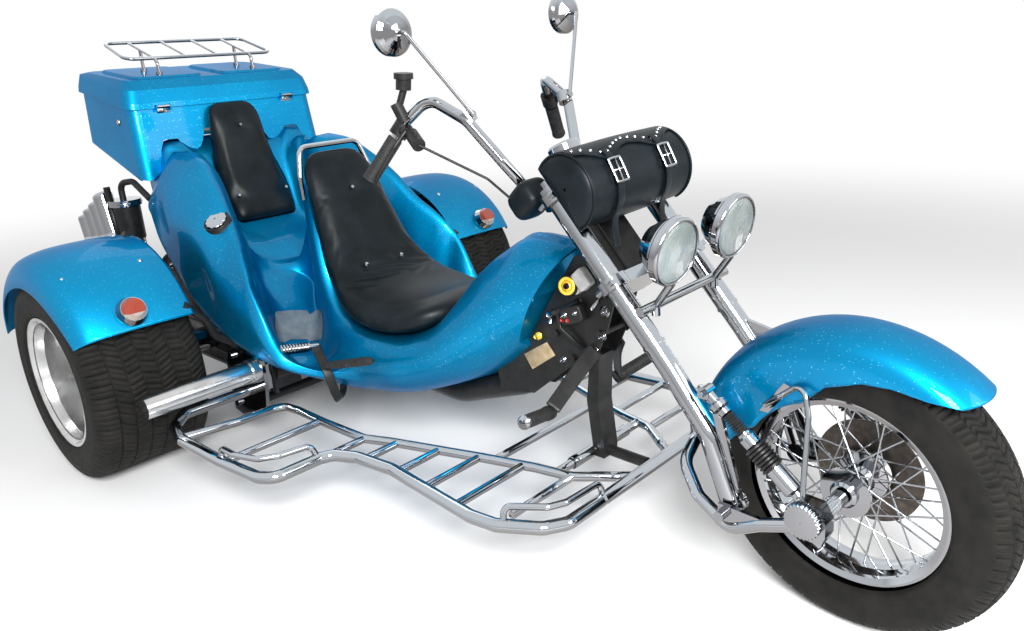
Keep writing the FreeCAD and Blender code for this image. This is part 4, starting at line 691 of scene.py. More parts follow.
def rearFenderGrid(sign, wall):
    # p = (x + r cos a, y, z + r sin a); the outer face stops at the arch r = 0.3 + 0.062 |cos a|^3
    s = rearFender
    curve = smoothLine(s["profile"], 140)
    move = np.gradient(curve, axis=0)
    across = np.stack([move[:, 1], -move[:, 0]], 1) / np.linalg.norm(move, axis=1)[:, None]
    curve = curve - across * wall
    a = np.radians(np.linspace(*s["angles"], 120))[:, None]
    arch = 0.3 + 0.062 * np.abs(np.cos(a)) ** 3
    share = np.linspace(0, 1, len(curve))
    side = curve[:, 1] > 0.8
    stop = np.interp(-arch, -curve[side, 0], share[side])
    t = stop * np.linspace(0, 1, 70)[None, :]
    r = np.interp(t, share, curve[:, 0])
    y = np.interp(t, share, curve[:, 1])
    return inRow(np.stack([s["x"] + r * np.cos(a), y, s["z"] + r * np.sin(a)], -1), sign)


for word, sign in (("Right", -1), ("Left", 1)):
    part = shell(rearFenderGrid(sign, 0.0), rearFenderGrid(sign, rearFender["wall"]))
    piece("rearFender" + word, flipped(part) if sign > 0 else part, "flake_blue",
          replaced=["rear_fender_" + word.lower()])


def frontFenderGrid(wall):
    # across the wheel r(t), w(t) from the crown to the skirt, cut where the skirt's line crosses each angle
    s = frontFender
    radius, half = s["radius"], s["half"]
    down = [(0.0015, -0.3), (0.0, 0.0), (0.0015, 0.3), (0.009, 0.62), (0.025, 0.86), (0.048, 0.97),
            (0.08, 1.0), (0.15, 1.0)]
    curve = smoothLine([(radius - drop, half * share) for drop, share in down], 210)[30:]
    curve = curve - wall * 0.8 * (curve[:, 1:] > 0.002)
    share = np.linspace(0, 1, len(curve))
    u = np.linspace(0, 1, 150)[:, None]
    a = np.radians(s["angles"][0] + (s["angles"][1] - s["angles"][0]) * u)
    tryR = np.linspace(radius - 0.15, radius - 0.0001, 300)[None, :]
    skirt = np.array(s["skirt"])
    above = tryR * np.sin(a) > np.interp(tryR * np.cos(a), skirt[:, 0], skirt[:, 1])
    cutR = np.where(above, tryR, radius - 0.0001).min(1)[:, None]
    v = np.linspace(-1, 1, 81)[None, :]
    t = np.interp(-cutR, -curve[:, 0], share) * np.abs(v)
    r = np.interp(t, share, curve[:, 0])
    w = np.interp(t, share, curve[:, 1]) * np.sign(v)
    back = s["tip"] * (1 - np.sqrt(np.clip(1 - (w / (half + 0.002)) ** 2, 0, 1)))
    a = a + np.arcsin(back / r) * (1 - u) ** 3
    return onFork(np.stack([r * np.cos(a), w, r * np.sin(a)], -1) + frontWheel)


piece("frontFender", shell(frontFenderGrid(0.0), frontFenderGrid(frontFender["wall"])), "flake_blue", "fork",
      replaced=["front_fender"])

# boards: the front cross tube runs on from the outer ones, and two ties join the inner ones
boards = {"z": 0.195, "front": (1.614, 0.222, 0.017), "ties": ((1.262, 0.236, 0.011), (1.44, 0.182, 0.0125)),
          "sleeve": (1.44, 0.035, 0.12, 0.017), "inner": ((1.552, 0.122), (1.58, 0.101), (1.608, 0.08)),
          "rung": ((1.485, 0.18), (1.485, 0.29), (1.485, 0.398)),
          "toe": ((1.6015, 0.232, 0.236), (1.603, 0.216, 0.2345), (1.607, 0.209, 0.222), (1.611, 0.208, 0.2))}
x, half, r = boards["front"]
across = [(x, y, boards["z"]) for y in np.linspace(-half, half, 41)]
piece("boardFront", along(inRow(across), r, 24), "chrome", replaced=["board_cross"])
parts = []
for x, half, r in boards["ties"]:
    parts.append(along(inRow([(x, y, boards["z"]) for y in np.linspace(-half, half, 9)]), r, 20))
for sign in (-1, 1):  # inner tubes run on to the front one, one more rung, toe rails turn down
    parts.append(along(inRow([(*q, boards["z"]) for q in boards["inner"]], sign), 0.013, 24))
    parts.append(along(inRow([(*q, boards["z"]) for q in boards["rung"]], sign), 0.011, 20))
    parts.append(along(smoothLine(inRow(boards["toe"], sign), 20), 0.0086, 16))
x, y0, y1, r = boards["sleeve"]
for sign in (-1, 1):
    start, end = inRow([(x, y0, boards["z"]), (x, y1, boards["z"])], sign)
    parts.append(lathe(start, end, band(r, share=0.03), 24))
piece("boardTies", parts, "chrome")

# rider's pegs: flat arm bolted to the neck, ribbed rubber and a plated end
peg = {"arm": ((1.478, 0.0525, 0.505), (1.446, 0.078, 0.452), (1.4, 0.142, 0.352)), "wide": 0.021,
       "thick": 0.0035, "foot": (1.392, 0.14, 0.338), "end": (1.445, 0.292, 0.385), "ribs": 15, "hub": 0.2}
arms = []
rubbers = []
caps = []
for sign in (-1, 1):
    arm = smoothLine(inRow(peg["arm"], sign), 24)
    foot, end = inRow([peg["foot"], peg["end"]], sign)
    start = foot * (1 - peg["hub"]) + end * peg["hub"]
    arms.append(along(arm, (peg["wide"], peg["thick"]), 20, flat=unit((0.45, sign * 0.8, 0.3))))
    arms.append(lathe(foot, start, [(0.0, 0.018), (0.1, 0.0195), (0.9, 0.0195), (1.0, 0.0165)], 28))
    rubbers.append(lathe(start, end, ribbed(peg["ribs"], 0.0158, 0.0018, -0.1)))
    rounded = [(0.0, 0.0165), (0.35, 0.018), (0.55, 0.018), (0.85, 0.013), (1.0, 0.004)]
    caps.append(lathe(end, end + unit(end - start) * 0.014, rounded, 32))
piece("riderPegArms", arms, "frame_black", replaced=["rider_pegs"])
piece("riderPegRubbers", rubbers, "grip_rubber")
piece("riderPegCaps", caps, "chrome")

# bolts and small fittings
print("fittings")


def bolt(at, way, radius, height, washer=1.5):
    # washer, six-sided head and the end of the stud
    a = np.asarray(at, float)
    d = unit(way)
    levels = (0.0, 0.002, 0.002 + height, 0.004 + height)
    shapes = (([(0.0, washer), (0.8, washer), (1.0, washer - 0.1)], 24),
              ([(0.0, 1.1), (0.85, 1.1), (1.0, 0.9)], 6), ([(0.0, 0.5), (1.0, 0.35)], 16))
    return joined([lathe(a + d * low, a + d * high, [(t, radius * r) for t, r in profile], sides)
                   for low, high, (profile, sides) in zip(levels, levels[1:], shapes)])


def screw(at, way, radius):
    # low domed head with a ring round it
    a = np.asarray(at, float)
    q = np.linspace(0, math.pi / 2, 8)[1:]
    dome = zip(0.25 + 0.75 * np.sin(q), radius * 0.72 * np.cos(q) + 0.0001)
    edge = [(0.0, radius), (0.25, radius), (0.3, radius * 0.74)]
    return lathe(a, a + unit(way) * radius * 0.6, [*edge, *dome], 20)


trees = {}


def onto(nodeName, start, way):
    # where a line from start meets a node's surface, and the surface's own direction there
    if nodeName not in trees:
        data = nodes[nodeName].data
        data.calc_loop_triangles()
        triangles = [tuple(q.vertices) for q in data.loop_triangles]
        trees[nodeName] = BVHTree.FromPolygons([v.co for v in data.vertices], triangles)
    hit, normal, _, _ = trees[nodeName].ray_cast(Vector(inRow(start)), Vector(way).normalized())
    return np.array(hit), np.array(normal)


fenderScrews = {"at": ((0.159, 0.604), (0.143, 0.822)), "radius": 0.0065}
parts = []
for x, y in fenderScrews["at"]:
    for sign, word in ((-1, "right"), (1, "left")):
        place, normal = onto("rear_fender_" + word, (x, sign * y, 1.2), (0, 0, -1))
        parts.append(screw(place, normal, fenderScrews["radius"]))
piece("fenderScrews", parts, "chrome")

hinge = {"top": 1.087, "at": 0.247, "half": 0.021, "leaf": 0.017, "thick": 0.0016,
         "screws": (-0.013, 0.0, 0.013)}
parts = []
for sign in (-1, 1):
    middle = sign * hinge["at"]
    place, normal = onto("trunk_box", (0.2, middle, hinge["top"] - 0.01), (-1, 0, 0))
    x = place[0] + 0.0012
    down = hinge["top"] - hinge["leaf"]
    left, right = middle - hinge["half"], middle + hinge["half"]
    leaf = [(x, left, hinge["top"]), (x, left, down), (x, right, down), (x, right, hinge["top"])]
    parts.append(slab(leaf, hinge["thick"]))
    for aside in hinge["screws"]:
        parts.append(screw((x + 0.0006, middle + aside, down + 0.007), (1, 0, 0), 0.0028))
piece("hingeLeaves", parts, "chrome", bevel=0.0004)

locks = {"at": (-0.4, 1.045), "slot": ((-0.9, 0, -4.5), (0.9, 0, -4.5), (0.9, 0, 4.5), (-0.9, 0, 4.5))}
parts = []
for sign in (-1, 1):
    a, normal = onto("trunk_box", (locks["at"][0], sign, locks["at"][1]), (0, -sign, 0))
    parts.append(lathe(a, a + normal * 0.006, [(0.0, 0.011), (0.4, 0.011), (0.8, 0.0095), (1.0, 0.0075)], 28))
    parts.append(slab(a + normal * 0.0066 + np.array(locks["slot"]) * 0.001, 0.0006))
piece("trunkLocks", parts, "chrome")

# patch where a heel rubs the tub: a rounded sheet pressed onto the tub
heel = {"lift": 0.0016, "count": 40,
        "x": [(0.2944, 0.2972, 0.3161, 0.43), (0.3343, 0.3304, 0.3471, 0.4629),
              (0.3981, 0.3621, 0.3788, 0.4884), (0.434, 0.399, 0.4152, 0.5121)],
        "y": [(0.264, 0.2079, 0.1595, 0.17), (0.2914, 0.2324, 0.1835, 0.1949),
              (0.325, 0.2556, 0.2074, 0.2155), (0.335, 0.2817, 0.234, 0.235)],
        "z": [(0.4468, 0.4316, 0.4215, 0.45), (0.4275, 0.4096, 0.3987, 0.4247),
              (0.4197, 0.3895, 0.3784, 0.4033), (0.4, 0.3721, 0.3608, 0.3818)]}
net = np.stack([heel["x"], heel["y"], heel["z"]], -1)
u = np.linspace(-1, 1, heel["count"])[:, None]
v = np.linspace(-1, 1, heel["count"])[None, :]
# square onto a rounded square: each row is drawn in near the corners, then laid over the net
su = (u * (1 - 0.07 * v ** 12) + 1) * 1.5
sv = (v * (1 - 0.07 * u ** 12) + 1) * 1.5
i = np.clip(np.floor(su).astype(int), 0, 2)
j = np.clip(np.floor(sv).astype(int), 0, 2)
fu = (su - i)[..., None]
fv = (sv - j)[..., None]
low, high = [net[i, k] * (1 - fu) + net[i + 1, k] * fu for k in (j, j + 1)]
grid = low * (1 - fv) + high * fv
for word, sign in (("Right", -1), ("Left", 1)):
    part = sheetOf(inRow(grid, sign))
    patchObj = piece("heelPatch" + word, flipped(part) if sign > 0 else part, "patch")
    wrap = patchObj.modifiers.new("onTub", "SHRINKWRAP")
    wrap.target = nodes["body_tub"]
    wrap.wrap_method = "NEAREST_SURFACEPOINT"
    wrap.wrap_mode = "ABOVE_SURFACE"
    wrap.offset = heel["lift"]

# filler: low black ring and a fluted cap about the axis of the solids; a cap row is height, radius, flutes
filler = {"toward": (0.28, -0.62, 0.93), "from": (0.217, -0.34, 0.703), "flutes": 12, "deep": 0.0012,
          "sides": 144,
          "ring": [(0.0, 0.0425), (0.93, 0.0425), (0.98, 0.041), (1.0, 0.0385), (0.985, 0.0355),
                   (0.86, 0.0345)],
          "cap": [(-0.006, 0.0335, 1), (0.004, 0.0335, 1), (0.0062, 0.033, 1), (0.0075, 0.0312, 0.8),
                  (0.008, 0.028, 0.2), (0.0072, 0.026, 0), (0.0094, 0.018, 0), (0.0102, 0.008, 0),
                  (0.0104, 0.0008, 0)]}
d, e, f = frameOf(filler["toward"])
a, normal = onto("body_tub", np.array(filler["from"]) + d * 0.5, -d)
piece("fillerRing", lathe(a - d * 0.026, a + d * 0.003, filler["ring"], 64), "frame_black",
      replaced=["filler_ring"])
turn = circle(filler["sides"])[None, :, None]
high, r, share = np.array(filler["cap"]).T[:, :, None, None]
r = r + share * filler["deep"] * np.cos(turn * filler["flutes"])  # r = r0 + h cos(n a)
grid = a + high * d + r * (np.cos(turn) * e + np.sin(turn) * f)
piece("fillerCap", flipped(tubeOf(grid)), "chrome", replaced=["filler_cap"])

# passenger pegs: flat arm down past the tub, ribbed rubber pedal
step = {"arm": ((0.574, -0.3, 0.392), (0.612, -0.318, 0.383), (0.655, -0.327, 0.35), (0.672, -0.327, 0.312),
                (0.676, -0.318, 0.268), (0.664, -0.3, 0.24), (0.63, -0.262, 0.244), (0.606, -0.238, 0.28)),
        "wide": 0.0135, "thick": 0.0045, "pedal": ((0.664, -0.336, 0.362), (0.905, -0.33, 0.432)), "ribs": 17}
arms = []
pedals = []
for sign in (1, -1):
    arm = smoothLine(inRow(step["arm"], sign), 80)
    arms.append(along(arm, (step["wide"], step["thick"]), 24, flat=unit((0.8, -0.45 * sign, 0.3))))
    t = np.linspace(0.0, 1.0, step["ribs"] * 6 + 1)
    swell = 0.0022 * np.sin(math.pi * np.clip(t * 1.25, 0, 1) * 0.5)
    r = 0.0098 + swell + 0.0011 * (np.sin(t * step["ribs"] * fullTurn) > 0.0) * (t < 0.86)
    r = r * np.sqrt(np.clip(1.02 - np.clip((t - 0.9) / 0.1, 0, 1) ** 2, 0.02, 1))
    pedals.append(lathe(*inRow(step["pedal"], sign), list(zip(t, r)), 32))
piece("pegArms", arms, "frame_black", replaced=["passenger_peg_arms"])
piece("pegPedals", pedals, "grip_rubber")

# dust rings over the thin rod of each shock: r = r0 + h sin(2 pi n t)
damper = {"top": (-0.256, 0.168, 0.216), "low": (-0.036, 0.168, 0.042), "rings": 8, "from": 0.235,
          "to": 0.408}
parts = []
for sign in (-1, 1):
    top, low = [(frontWheel + damper[end]) * [1, sign, 1] for end in ("top", "low")]
    t = np.linspace(0.0, 1.0, damper["rings"] * 10 + 1)
    r = 0.0125 + 0.004 * np.sin(t * damper["rings"] * fullTurn)
    start, end = [onFork(top * (1 - damper[part]) + low * damper[part]) for part in ("from", "to")]
    parts.append(lathe(start, end, list(zip(t, r)), 40))
piece("shockDustRings", parts, "grip_rubber", "fork")

# neck: bolt heads, blank plate, relay, horn, linkage
neck = {"face": 0.0492, "bolts": ((1.471, 0.496, 0.0085), (1.497, 0.542, 0.0085), (1.363, 0.448, 0.007)),
        "big": (1.507, 0.61), "inset": 0.14,
        "bigTurned": [(0.0, 0.015), (0.5, 0.015), (0.6, 0.0125), (0.9, 0.0125), (1.0, 0.0105)],
        "lever": ((1.499, 0.0532, 0.655), (1.486, 0.0532, 0.633), (1.47, 0.0532, 0.612)),
        "plate": [(1.221, -0.0502, 0.433), (1.25, -0.0502, 0.394), (1.336, -0.0502, 0.455),
                  (1.308, -0.0502, 0.487)]}
parts = []
for sign in (-1, 1):
    way = (0, sign, 0)
    for x, z, r in neck["bolts"]:
        parts.append(bolt(inRow((x, neck["face"], z), sign), way, r, 0.007))
    x, z = neck["big"]
    foot, top = inRow([(x, neck["face"] + out, z) for out in (0.0, 0.006)], sign)
    parts.append(lathe(foot, top, neck["bigTurned"], 32))
    parts.append(bolt(top, way, 0.0055, 0.003, 1.3))
    parts.append(along(inRow(neck["lever"], sign), 0.0055, 12))
piece("neckBolts", parts, "chrome")
parts = [slab(inRow(neck["plate"]), 0.0012)]
for q in neck["plate"]:
    place = np.array(q) * (1 - neck["inset"]) + np.mean(neck["plate"], 0) * neck["inset"]
    parts.append(screw(inRow(place + [0, -0.0006, 0]), (0, -1, 0), 0.0024))
piece("blankPlate", parts, "brass", bevel=0.0003)

horn = {"at": (1.405, -0.0495, 0.664), "axis": (0.25, -0.95, 0.18),
        "drum": [(0.0, 0.02), (0.15, 0.0285), (0.75, 0.0285), (0.85, 0.0265), (1.0, 0.0255), (0.96, 0.008),
                 (1.12, 0.0075), (1.14, 0.004)],
        "band": [(0.0, 0.0235), (0.5, 0.0225), (1.0, 0.019), (0.9, 0.015), (0.1, 0.015)]}
a = inRow(horn["at"])
d = unit(horn["axis"])
piece("hornDrum", lathe(a, a + d * 0.036, horn["drum"], 40), "frame_black")
piece("hornBand", lathe(a + d * 0.0352, a + d * 0.0385, horn["band"], 40), "yellow")


def turned(start, end, profile, sides=20):
    return lathe(inRow(start), inRow(end), profile, sides)


relays = (((1.452, -0.064, 0.69), (0.021, 0.014, 0.026)), ((1.432, -0.06, 0.662), (0.014, 0.01, 0.012)))
piece("relayBoxes", [blob(inRow(at), (ahead * long, sideways * wide, headAxis * tall), (0.25, 0.3))
                     for at, (long, wide, tall) in relays], "grey_box")
axes = ((0.034, 0, 0.012), sideways * 0.016, (-0.008, 0, 0.022))
pipes = [([(1.436, -0.062, 0.63), (1.4, -0.066, 0.606), (1.345, -0.062, 0.58)], 0.0085, 14),
         ([(1.36, -0.06, 0.585), (1.372, -0.066, 0.545), (1.41, -0.062, 0.52), (1.44, -0.056, 0.5)],
          0.006, 12)]
piece("brakeUnit", [blob(inRow((1.418, -0.066, 0.592)), axes, (0.35, 0.45))]
      + [along(inRow(path), r, sides) for path, r, sides in pipes], "frame_black")
toRight = (0, -1, 0)
piece("brakeFittings", [bolt(inRow((1.401, -0.083, 0.59)), toRight, 0.006, 0.005),
                        bolt(inRow((1.436, -0.083, 0.602)), toRight, 0.005, 0.004),
                        turned((1.349, -0.062, 0.582), (1.33, -0.06, 0.571),
                               [(0.0, 0.0105), (0.4, 0.0105), (0.5, 0.0075), (0.8, 0.0075), (1.0, 0.0095)]),
                        turned((1.336, -0.058, 0.566), (1.333, -0.06, 0.55),
                               [(0.0, 0.006), (0.6, 0.006), (0.7, 0.0085), (1.0, 0.008)], 6)], "chrome")
knob = turned((1.392, -0.0655, 0.575), (1.392, -0.083, 0.575), [(0.0, 0.008), (0.7, 0.008), (1.0, 0.0055)])
stud = turned((1.412, -0.079, 0.578), (1.412, -0.084, 0.578), [(0.0, 0.006), (1.0, 0.005)])
piece("brakeMarks", [knob, stud], "red")
piece("neckBush", turned((1.281, -0.05, 0.5), (1.281, -0.066, 0.5),
                         [(0.0, 0.01), (0.5, 0.01), (0.6, 0.007), (1.0, 0.006)], 24), "yellow")

# mirrors: the reflecting side faces the rider
glass = {"at": (1.0999, 0.292, 1.308), "thick": 0.0012, "profile": [(0.0, 0.049), (0.6, 0.049), (1.0, 0.048)]}
ends = np.array([glass["at"], glass["at"]]) - [[0, 0, 0], [glass["thick"], 0, 0]]
parts = [lathe(*onFork(ends, sign), glass["profile"], 48) for sign in (-1, 1)]
piece("mirrorGlasses", parts, "mirror", "fork")

# grips: rings of rubber along each one
grip = {"end": (1.0, 0.342, 0.966), "top": (1.058, 0.252, 1.096), "long": 0.116, "rings": 21}
foot = np.array(grip["end"])
ends = np.array([foot, foot + unit(grip["top"] - foot) * grip["long"]])
rings = ribbed(grip["rings"], 0.0182, 0.0012, -0.2, 4)
piece("gripRings", [lathe(*onFork(ends, sign), rings) for sign in (-1, 1)], "grip_rubber", "fork")


def ringAt(y, radius, angle):  # a ring about the front wheel's axle
    return frontWheel + np.stack([radius * np.cos(angle), np.full(angle.size, y), radius * np.sin(angle)], -1)


# brake disc on the left, and the bolts that hold it
disc = {"radii": (0.052, 0.064, 0.118, 0.12), "at": 0.066, "thick": 0.005, "bolts": 6, "boltAt": 0.058}
angle = circle(128)
front, rear = [[ringAt(y, r, angle) for r in disc["radii"]] for y in (disc["at"] + disc["thick"], disc["at"])]
piece("brakeDisc", sheetOf(onFork(front + rear[::-1]), wrapU=True, wrapV=True), "iron", "front_wheel")
outward = onFork((0, 1, 0)) - onFork((0, 0, 0))
places = onFork(ringAt(0.0712, disc["boltAt"], circle(disc["bolts"])))
piece("discBolts", [bolt(place, outward, 0.0055, 0.004) for place in places], "chrome", "front_wheel")

# axle ends: a round cap on each block; its rim is r + h cos(n a)
cap = {"at": (-0.006, 0.1975, 0.021), "deep": 0.022, "radius": 0.0375, "rib": 0.0016, "ribs": 28}
angle = circle(cap["ribs"] * 8)
rim = cap["radius"] + cap["rib"] * np.cos(cap["ribs"] * angle)
steps = [(0.0, rim), (cap["deep"] - 0.003, rim), (cap["deep"] - 0.001, rim * 0.97),
         (cap["deep"], cap["radius"] * 0.9), (cap["deep"], 0.001)]
grid = np.stack([ringAt(out, r, angle) for out, r in steps]) + cap["at"]
left, right = [sheetOf(onFork(grid, sign), wrapV=True) for sign in (1, -1)]
piece("axleCaps", [left, flipped(right)], "chrome", "fork")

# engine: case, fan shroud, pulleys with a belt, finned cylinders and the gearbox
print("engine")
motor = {"case": ((-0.27, 0.0, 0.345), (0.185, 0.15, 0.095)),
         "shroud": ((-0.27, 0.0, 0.497), (0.15, 0.215, 0.062)),
         "gearbox": ((-0.0075, 0, 0.3125), (0.05, 0.118, 0.086)), "rib": (0.0016, 0.1195, 0.0872),
         "cylinders": (-0.345, -0.195), "fins": 9, "fan": (-0.479, 0.0, 0.48), "crank": (-0.479, 0.0, 0.335)}


def box(centre, half, power=(0.28, 0.28)):
    return blob(inRow(centre), np.diag(half), power, (28, 48))


parts = [box(*motor["case"]), box(*motor["gearbox"], (0.45, 0.45))]
for k in range(7):  # ribs round the gearbox
    parts.append(box((-0.045 + 0.013 * k, 0, 0.3125), motor["rib"], (0.45, 0.45)))
piece("engineCase", parts, "engine_metal", replaced=["engine_block"])
parts = []
fins = ribbed(motor["fins"], 0.044, 0.014, 0.15)
for sign in (-1, 1):
    for x in motor["cylinders"]:
        parts.append(turned((x, sign * 0.145, 0.39), (x, sign * 0.295, 0.39), fins, 40))
    parts.append(box((-0.27, sign * 0.309, 0.39), (0.142, 0.0185, 0.052), (0.3, 0.3)))
    for k in range(4):
        parts.append(bolt(inRow((-0.385 + 0.077 * k, 0.3275, 0.39), sign), (0, sign, 0), 0.005, 0.001))
piece("engineCylinders", parts, "polished", slotName="engine_metal")

# silencers: four upright pipes side by side, cut along one falling line, on a collector with feed and outlet
stack = {"y": 0.45, "radius": 0.0345, "low": (-0.392, -0.463, -0.534, -0.605), "lean": -0.055, "base": 0.58,
         "cutX": (-0.7, -0.645, -0.585, -0.51, -0.4, -0.35),
         "cutZ": (0.688, 0.709, 0.735, 0.765, 0.822, 0.822),
         "feed": ((-0.3, 0.331, 0.385), (-0.315, 0.4, 0.39), (-0.4, 0.442, 0.435), (-0.475, 0.45, 0.51),
                  (-0.5, 0.45, 0.575)),
         "outlet": ((-0.625, 0.6), (-0.668, 0.598), (-0.691, 0.618), (-0.68, 0.642), (-0.645, 0.65)),
         "plate": ((-0.356, 0.439, 0.585), (-0.356, 0.461, 0.585), (-0.4, 0.461, 0.83), (-0.4, 0.439, 0.83)),
         "collector": ((-0.498, 0.45, 0.578), (0.138, 0.037, 0.02))}
angle = circle(48)[None, :]
level = np.concatenate([[0.0, 0.3, 0.305, 0.345, 0.35], np.linspace(0.4, 0.985, 12), [1.0, 1.0]])[:, None]
wide = np.concatenate([[1.0, 1.0, 1.035, 1.035, 1.0], np.ones(12), [0.94, 0.05]])[:, None] * stack["radius"]
pipes = []
plates = []
for sign in (-1, 1):
    for x0 in stack["low"]:
        x = x0 + wide * np.cos(angle)
        top = np.interp(x + stack["lean"], stack["cutX"], stack["cutZ"])  # the cut is one line for all four
        z = stack["base"] + (top - stack["base"]) * level
        x = x + stack["lean"] * (z - stack["base"]) / 0.2
        part = tubeOf(inRow(np.stack([x, stack["y"] + wide * np.sin(angle), z], -1), sign))
        pipes.append(flipped(part) if sign > 0 else part)
    pipes.append(along(smoothLine(inRow(stack["feed"], sign), 40), 0.02, 24))
    outlet = [(x, stack["y"], z) for x, z in stack["outlet"]]
    pipes.append(along(smoothLine(inRow(outlet, sign), 30), 0.0115, 20))
    # a black plate beside the tallest pipe: a dark sheet standing in for the shade between the stack and the
    # next pipe
    plates.append(slab(inRow(stack["plate"], sign), 0.005))
    centre, half = stack["collector"]
    plates.append(blob(inRow(centre, sign), np.diag(half), (0.3, 0.3), (20, 40)))
piece("silencerPipes", pipes, "chrome", replaced=["silencers"])
piece("silencerPlatesAndShade", plates, "frame_black")

# black guards beside the engine, under the tub's edge: partly engine tinware, partly a dark sheet standing in
# for the shade under the tub
guard = {"y": 0.345, "bolts": ((-0.3, 0.46), (-0.225, 0.545), (0.06, 0.36), (0.18, 0.3), (-0.06, 0.43)),
         "outline": ((-0.335, 0.285), (-0.335, 0.5), (-0.235, 0.585), (-0.115, 0.55), (-0.01, 0.47),
                     (0.09, 0.398), (0.19, 0.35), (0.3, 0.33), (0.31, 0.262), (0.2, 0.236), (-0.27, 0.236))}
rim = smoothLine(guard["outline"], 121, closed=True)
rim = np.insert(rim, 1, guard["y"], axis=1)
parts = []
bolts = []
for sign in (-1, 1):
    parts += [slab(inRow(rim, sign), 0.003), along(inRow(rim, sign), 0.0055, 10, closed=True)]
    for k in range(4):
        rib = [(x, guard["y"] + 0.002, 0.275 + 0.04 * k) for x in np.linspace(-0.29, 0.24 - 0.07 * k, 12)]
        parts.append(along(inRow(rib, sign), 0.0045, 10))
    for x, z in guard["bolts"]:
        bolts.append(bolt(inRow((x, guard["y"] + 0.0035, z), sign), (0, sign, 0), 0.0075, 0.006))
piece("engineGuardsAndShade", parts, "frame_black")
piece("guardBolts", bolts, "chrome")

fan = np.array(motor["fan"])
crank = np.array(motor["crank"])
parts = [box(*motor["shroud"], (0.35, 0.35)), turned(fan, fan + [0.075, 0, 0], band(0.078, 0.008, 0.1), 48),
         turned(crank, crank + [0.05, 0, 0], [(0.0, 0.06), (0.3, 0.052), (0.5, 0.06), (1.0, 0.034)], 48)]
piece("engineShroud", parts, "frame_black")
belt = []
for centre, r, start in ((crank, 0.054, -math.pi), (fan, 0.034, 0.0)):
    turn = np.linspace(start, start + math.pi, 24)
    belt += [centre + [0.012, r * math.cos(q), r * math.sin(q)] for q in turn]
loop = along(inRow(belt), (0.0055, 0.0035), 10, closed=True, flat=np.array([0, 1.0, 0.3]))
piece("fanBelt", loop, "grip_rubber")

# carburettor and clamps under the air canister
can = {"at": (-0.38, -0.405), "low": 0.64, "legs": 5,
       "clamps": ((0.628, 0.004, band(0.0425), 48), (0.77, 0.004, band(0.0575), 48),
                  (0.59, 0.005, band(0.0225, 0.002), 32), (0.52, 0.005, band(0.0225, 0.002), 32))}
parts = []
for q in circle(can["legs"]) + 0.3:
    x, y = can["at"] + 0.044 * np.array([math.cos(q), math.sin(q)])
    foot, top = inRow([(x, y, can["low"] - 0.034), (x, y, can["low"])])
    parts += [along([foot, top], 0.003, 10), bolt(foot, (0, 0, -1), 0.005, 0.004)]
for z, half, profile, sides in can["clamps"]:
    parts.append(turned((*can["at"], z - half), (*can["at"], z + half), profile, sides))
piece("intakeClamps", parts, "chrome")
neckProfile = [(0.0, 0.01), (0.4, 0.01), (0.5, 0.006), (1.0, 0.005)]
piece("carburettor", [box((-0.365, -0.375, 0.56), (0.026, 0.02, 0.024), (0.4, 0.4)),
                      box((-0.352, -0.372, 0.53), (0.02, 0.018, 0.012), (0.4, 0.5)),
                      turned((-0.35, -0.385, 0.572), (-0.326, -0.402, 0.572), neckProfile)], "brass")

# stage, lights and camera
print("stage")
stage = {"radii": (0.01, 4.0, 12.0, 60.0), "fadeFrom": 2.2, "fadeTo": 6.5}
radii = np.array(stage["radii"])[:, None]
angle = circle(64)
grid = np.stack([radii * np.cos(angle), radii * np.sin(angle), 0 * radii * angle], -1)
points, faces = sheetOf(grid, wrapV=True)
floorMesh = bpy.data.meshes.new("floor")
floorMesh.from_pydata(points.tolist(), [], faces)
floorObj = bpy.data.objects.new("floor", floorMesh)
show(floorObj)
m = Look("paleFloor")
m.put(Base_Color=m.ramp(m.noise(0.6), [(0.3, grey(0.9)), (0.7, grey(0.93))]), Roughness=0.9)
glow = m.node("ShaderNodeEmission", Strength=1.0)
far = m.node("ShaderNodeVectorMath", {"operation": "LENGTH"}, output=1, i0=m.coords())
share = m.node("ShaderNodeMapRange", {"interpolation_type": "SMOOTHSTEP"}, Value=far,
               i1=stage["fadeFrom"], i2=stage["fadeTo"])
mixed = m.node("ShaderNodeMixShader", i0=share, i1=Sock(m.tree, m.shader.outputs[0]), i2=glow)
plug(m.tree, m.tree.nodes["Material Output"].inputs[0], mixed)
floorMesh.materials.append(m.mat)

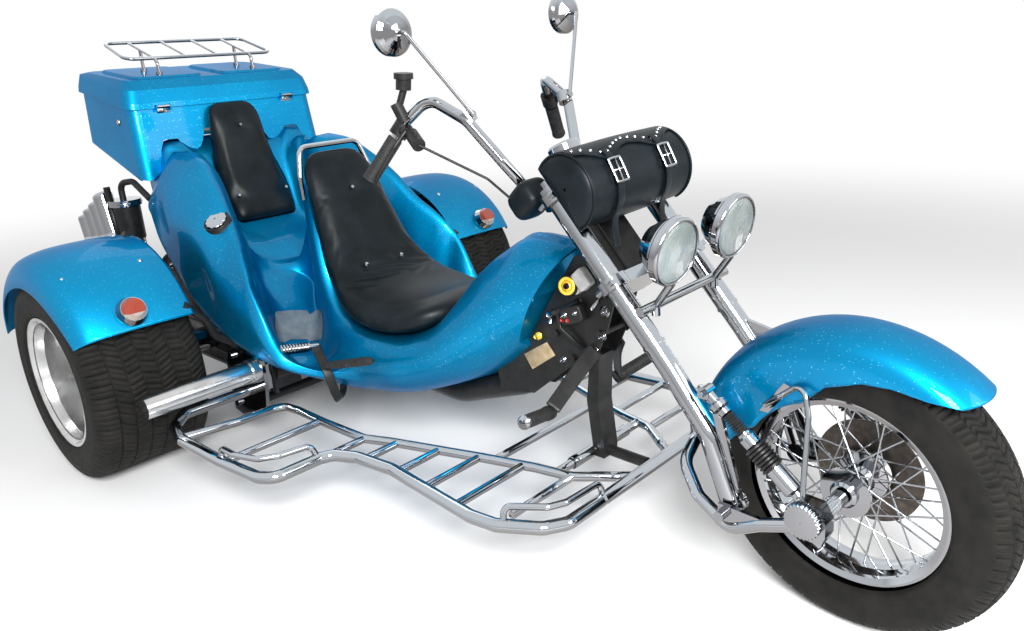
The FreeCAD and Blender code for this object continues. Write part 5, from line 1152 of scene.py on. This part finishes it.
world = bpy.data.worlds.new("studio")
bpy.context.scene.world = world
world.use_nodes = True
tree = world.node_tree
back = tree.nodes["Background"]
rays = tree.nodes.new("ShaderNodeLightPath").outputs
seen = Sock(tree, rays["Is Camera Ray"])
for kind in ("Is Glossy Ray", "Is Transmission Ray"):
    seen = seen.math("MAXIMUM", Sock(tree, rays[kind]))
back.inputs["Color"].default_value = (1.0, 1.0, 1.0, 1.0)
plug(tree, back.inputs["Strength"], seen * 0.62 + 0.38)

lights = {"key": {"at": (3.2, -2.4, 2.7), "size": 1.5, "power": 340.0},
          "front": {"at": (4.4, 1.2, 2.2), "size": 2.4, "power": 90.0},
          "back": {"at": (-3.6, 1.6, 3.4), "size": 2.4, "power": 18.0}}
for name, s in lights.items():
    light = bpy.data.lights.new(name, "AREA")
    light.energy = s["power"]
    light.size = s["size"]
    obj = bpy.data.objects.new(name, light)
    obj.location = s["at"]
    obj.rotation_euler = (Vector((0.0, 0.0, 0.5)) - Vector(s["at"])).to_track_quat("-Z", "Y").to_euler()
    show(obj)

shot = {"at": (2.7087, -1.5903, 1.2717), "yaw": 2.31, "pitch": 0.3236, "roll": -0.0481, "lens": 29.04,
        "sensor": 36.0, "shift": (-0.03174, -0.00373)}
cameraData = bpy.data.cameras.new("camera")
cameraData.lens = shot["lens"]
cameraData.sensor_width = shot["sensor"]
cameraData.shift_x, cameraData.shift_y = shot["shift"]
cameraData.clip_start = 0.05
camera = bpy.data.objects.new("camera", cameraData)
show(camera)
level = math.cos(shot["pitch"])
look = np.array([math.cos(shot["yaw"]) * level, math.sin(shot["yaw"]) * level, -math.sin(shot["pitch"])])
right0 = np.array([math.sin(shot["yaw"]), -math.cos(shot["yaw"]), 0.0])
up0 = np.cross(right0, look)
right = math.cos(shot["roll"]) * right0 + math.sin(shot["roll"]) * up0
up = -math.sin(shot["roll"]) * right0 + math.cos(shot["roll"]) * up0
turn = np.stack([right, up, -look, inRow(shot["at"])], 1)
camera.matrix_world = Matrix([*turn.tolist(), [0, 0, 0, 1]])
bpy.context.scene.camera = camera
bpy.context.scene.view_settings.view_transform = "Standard"
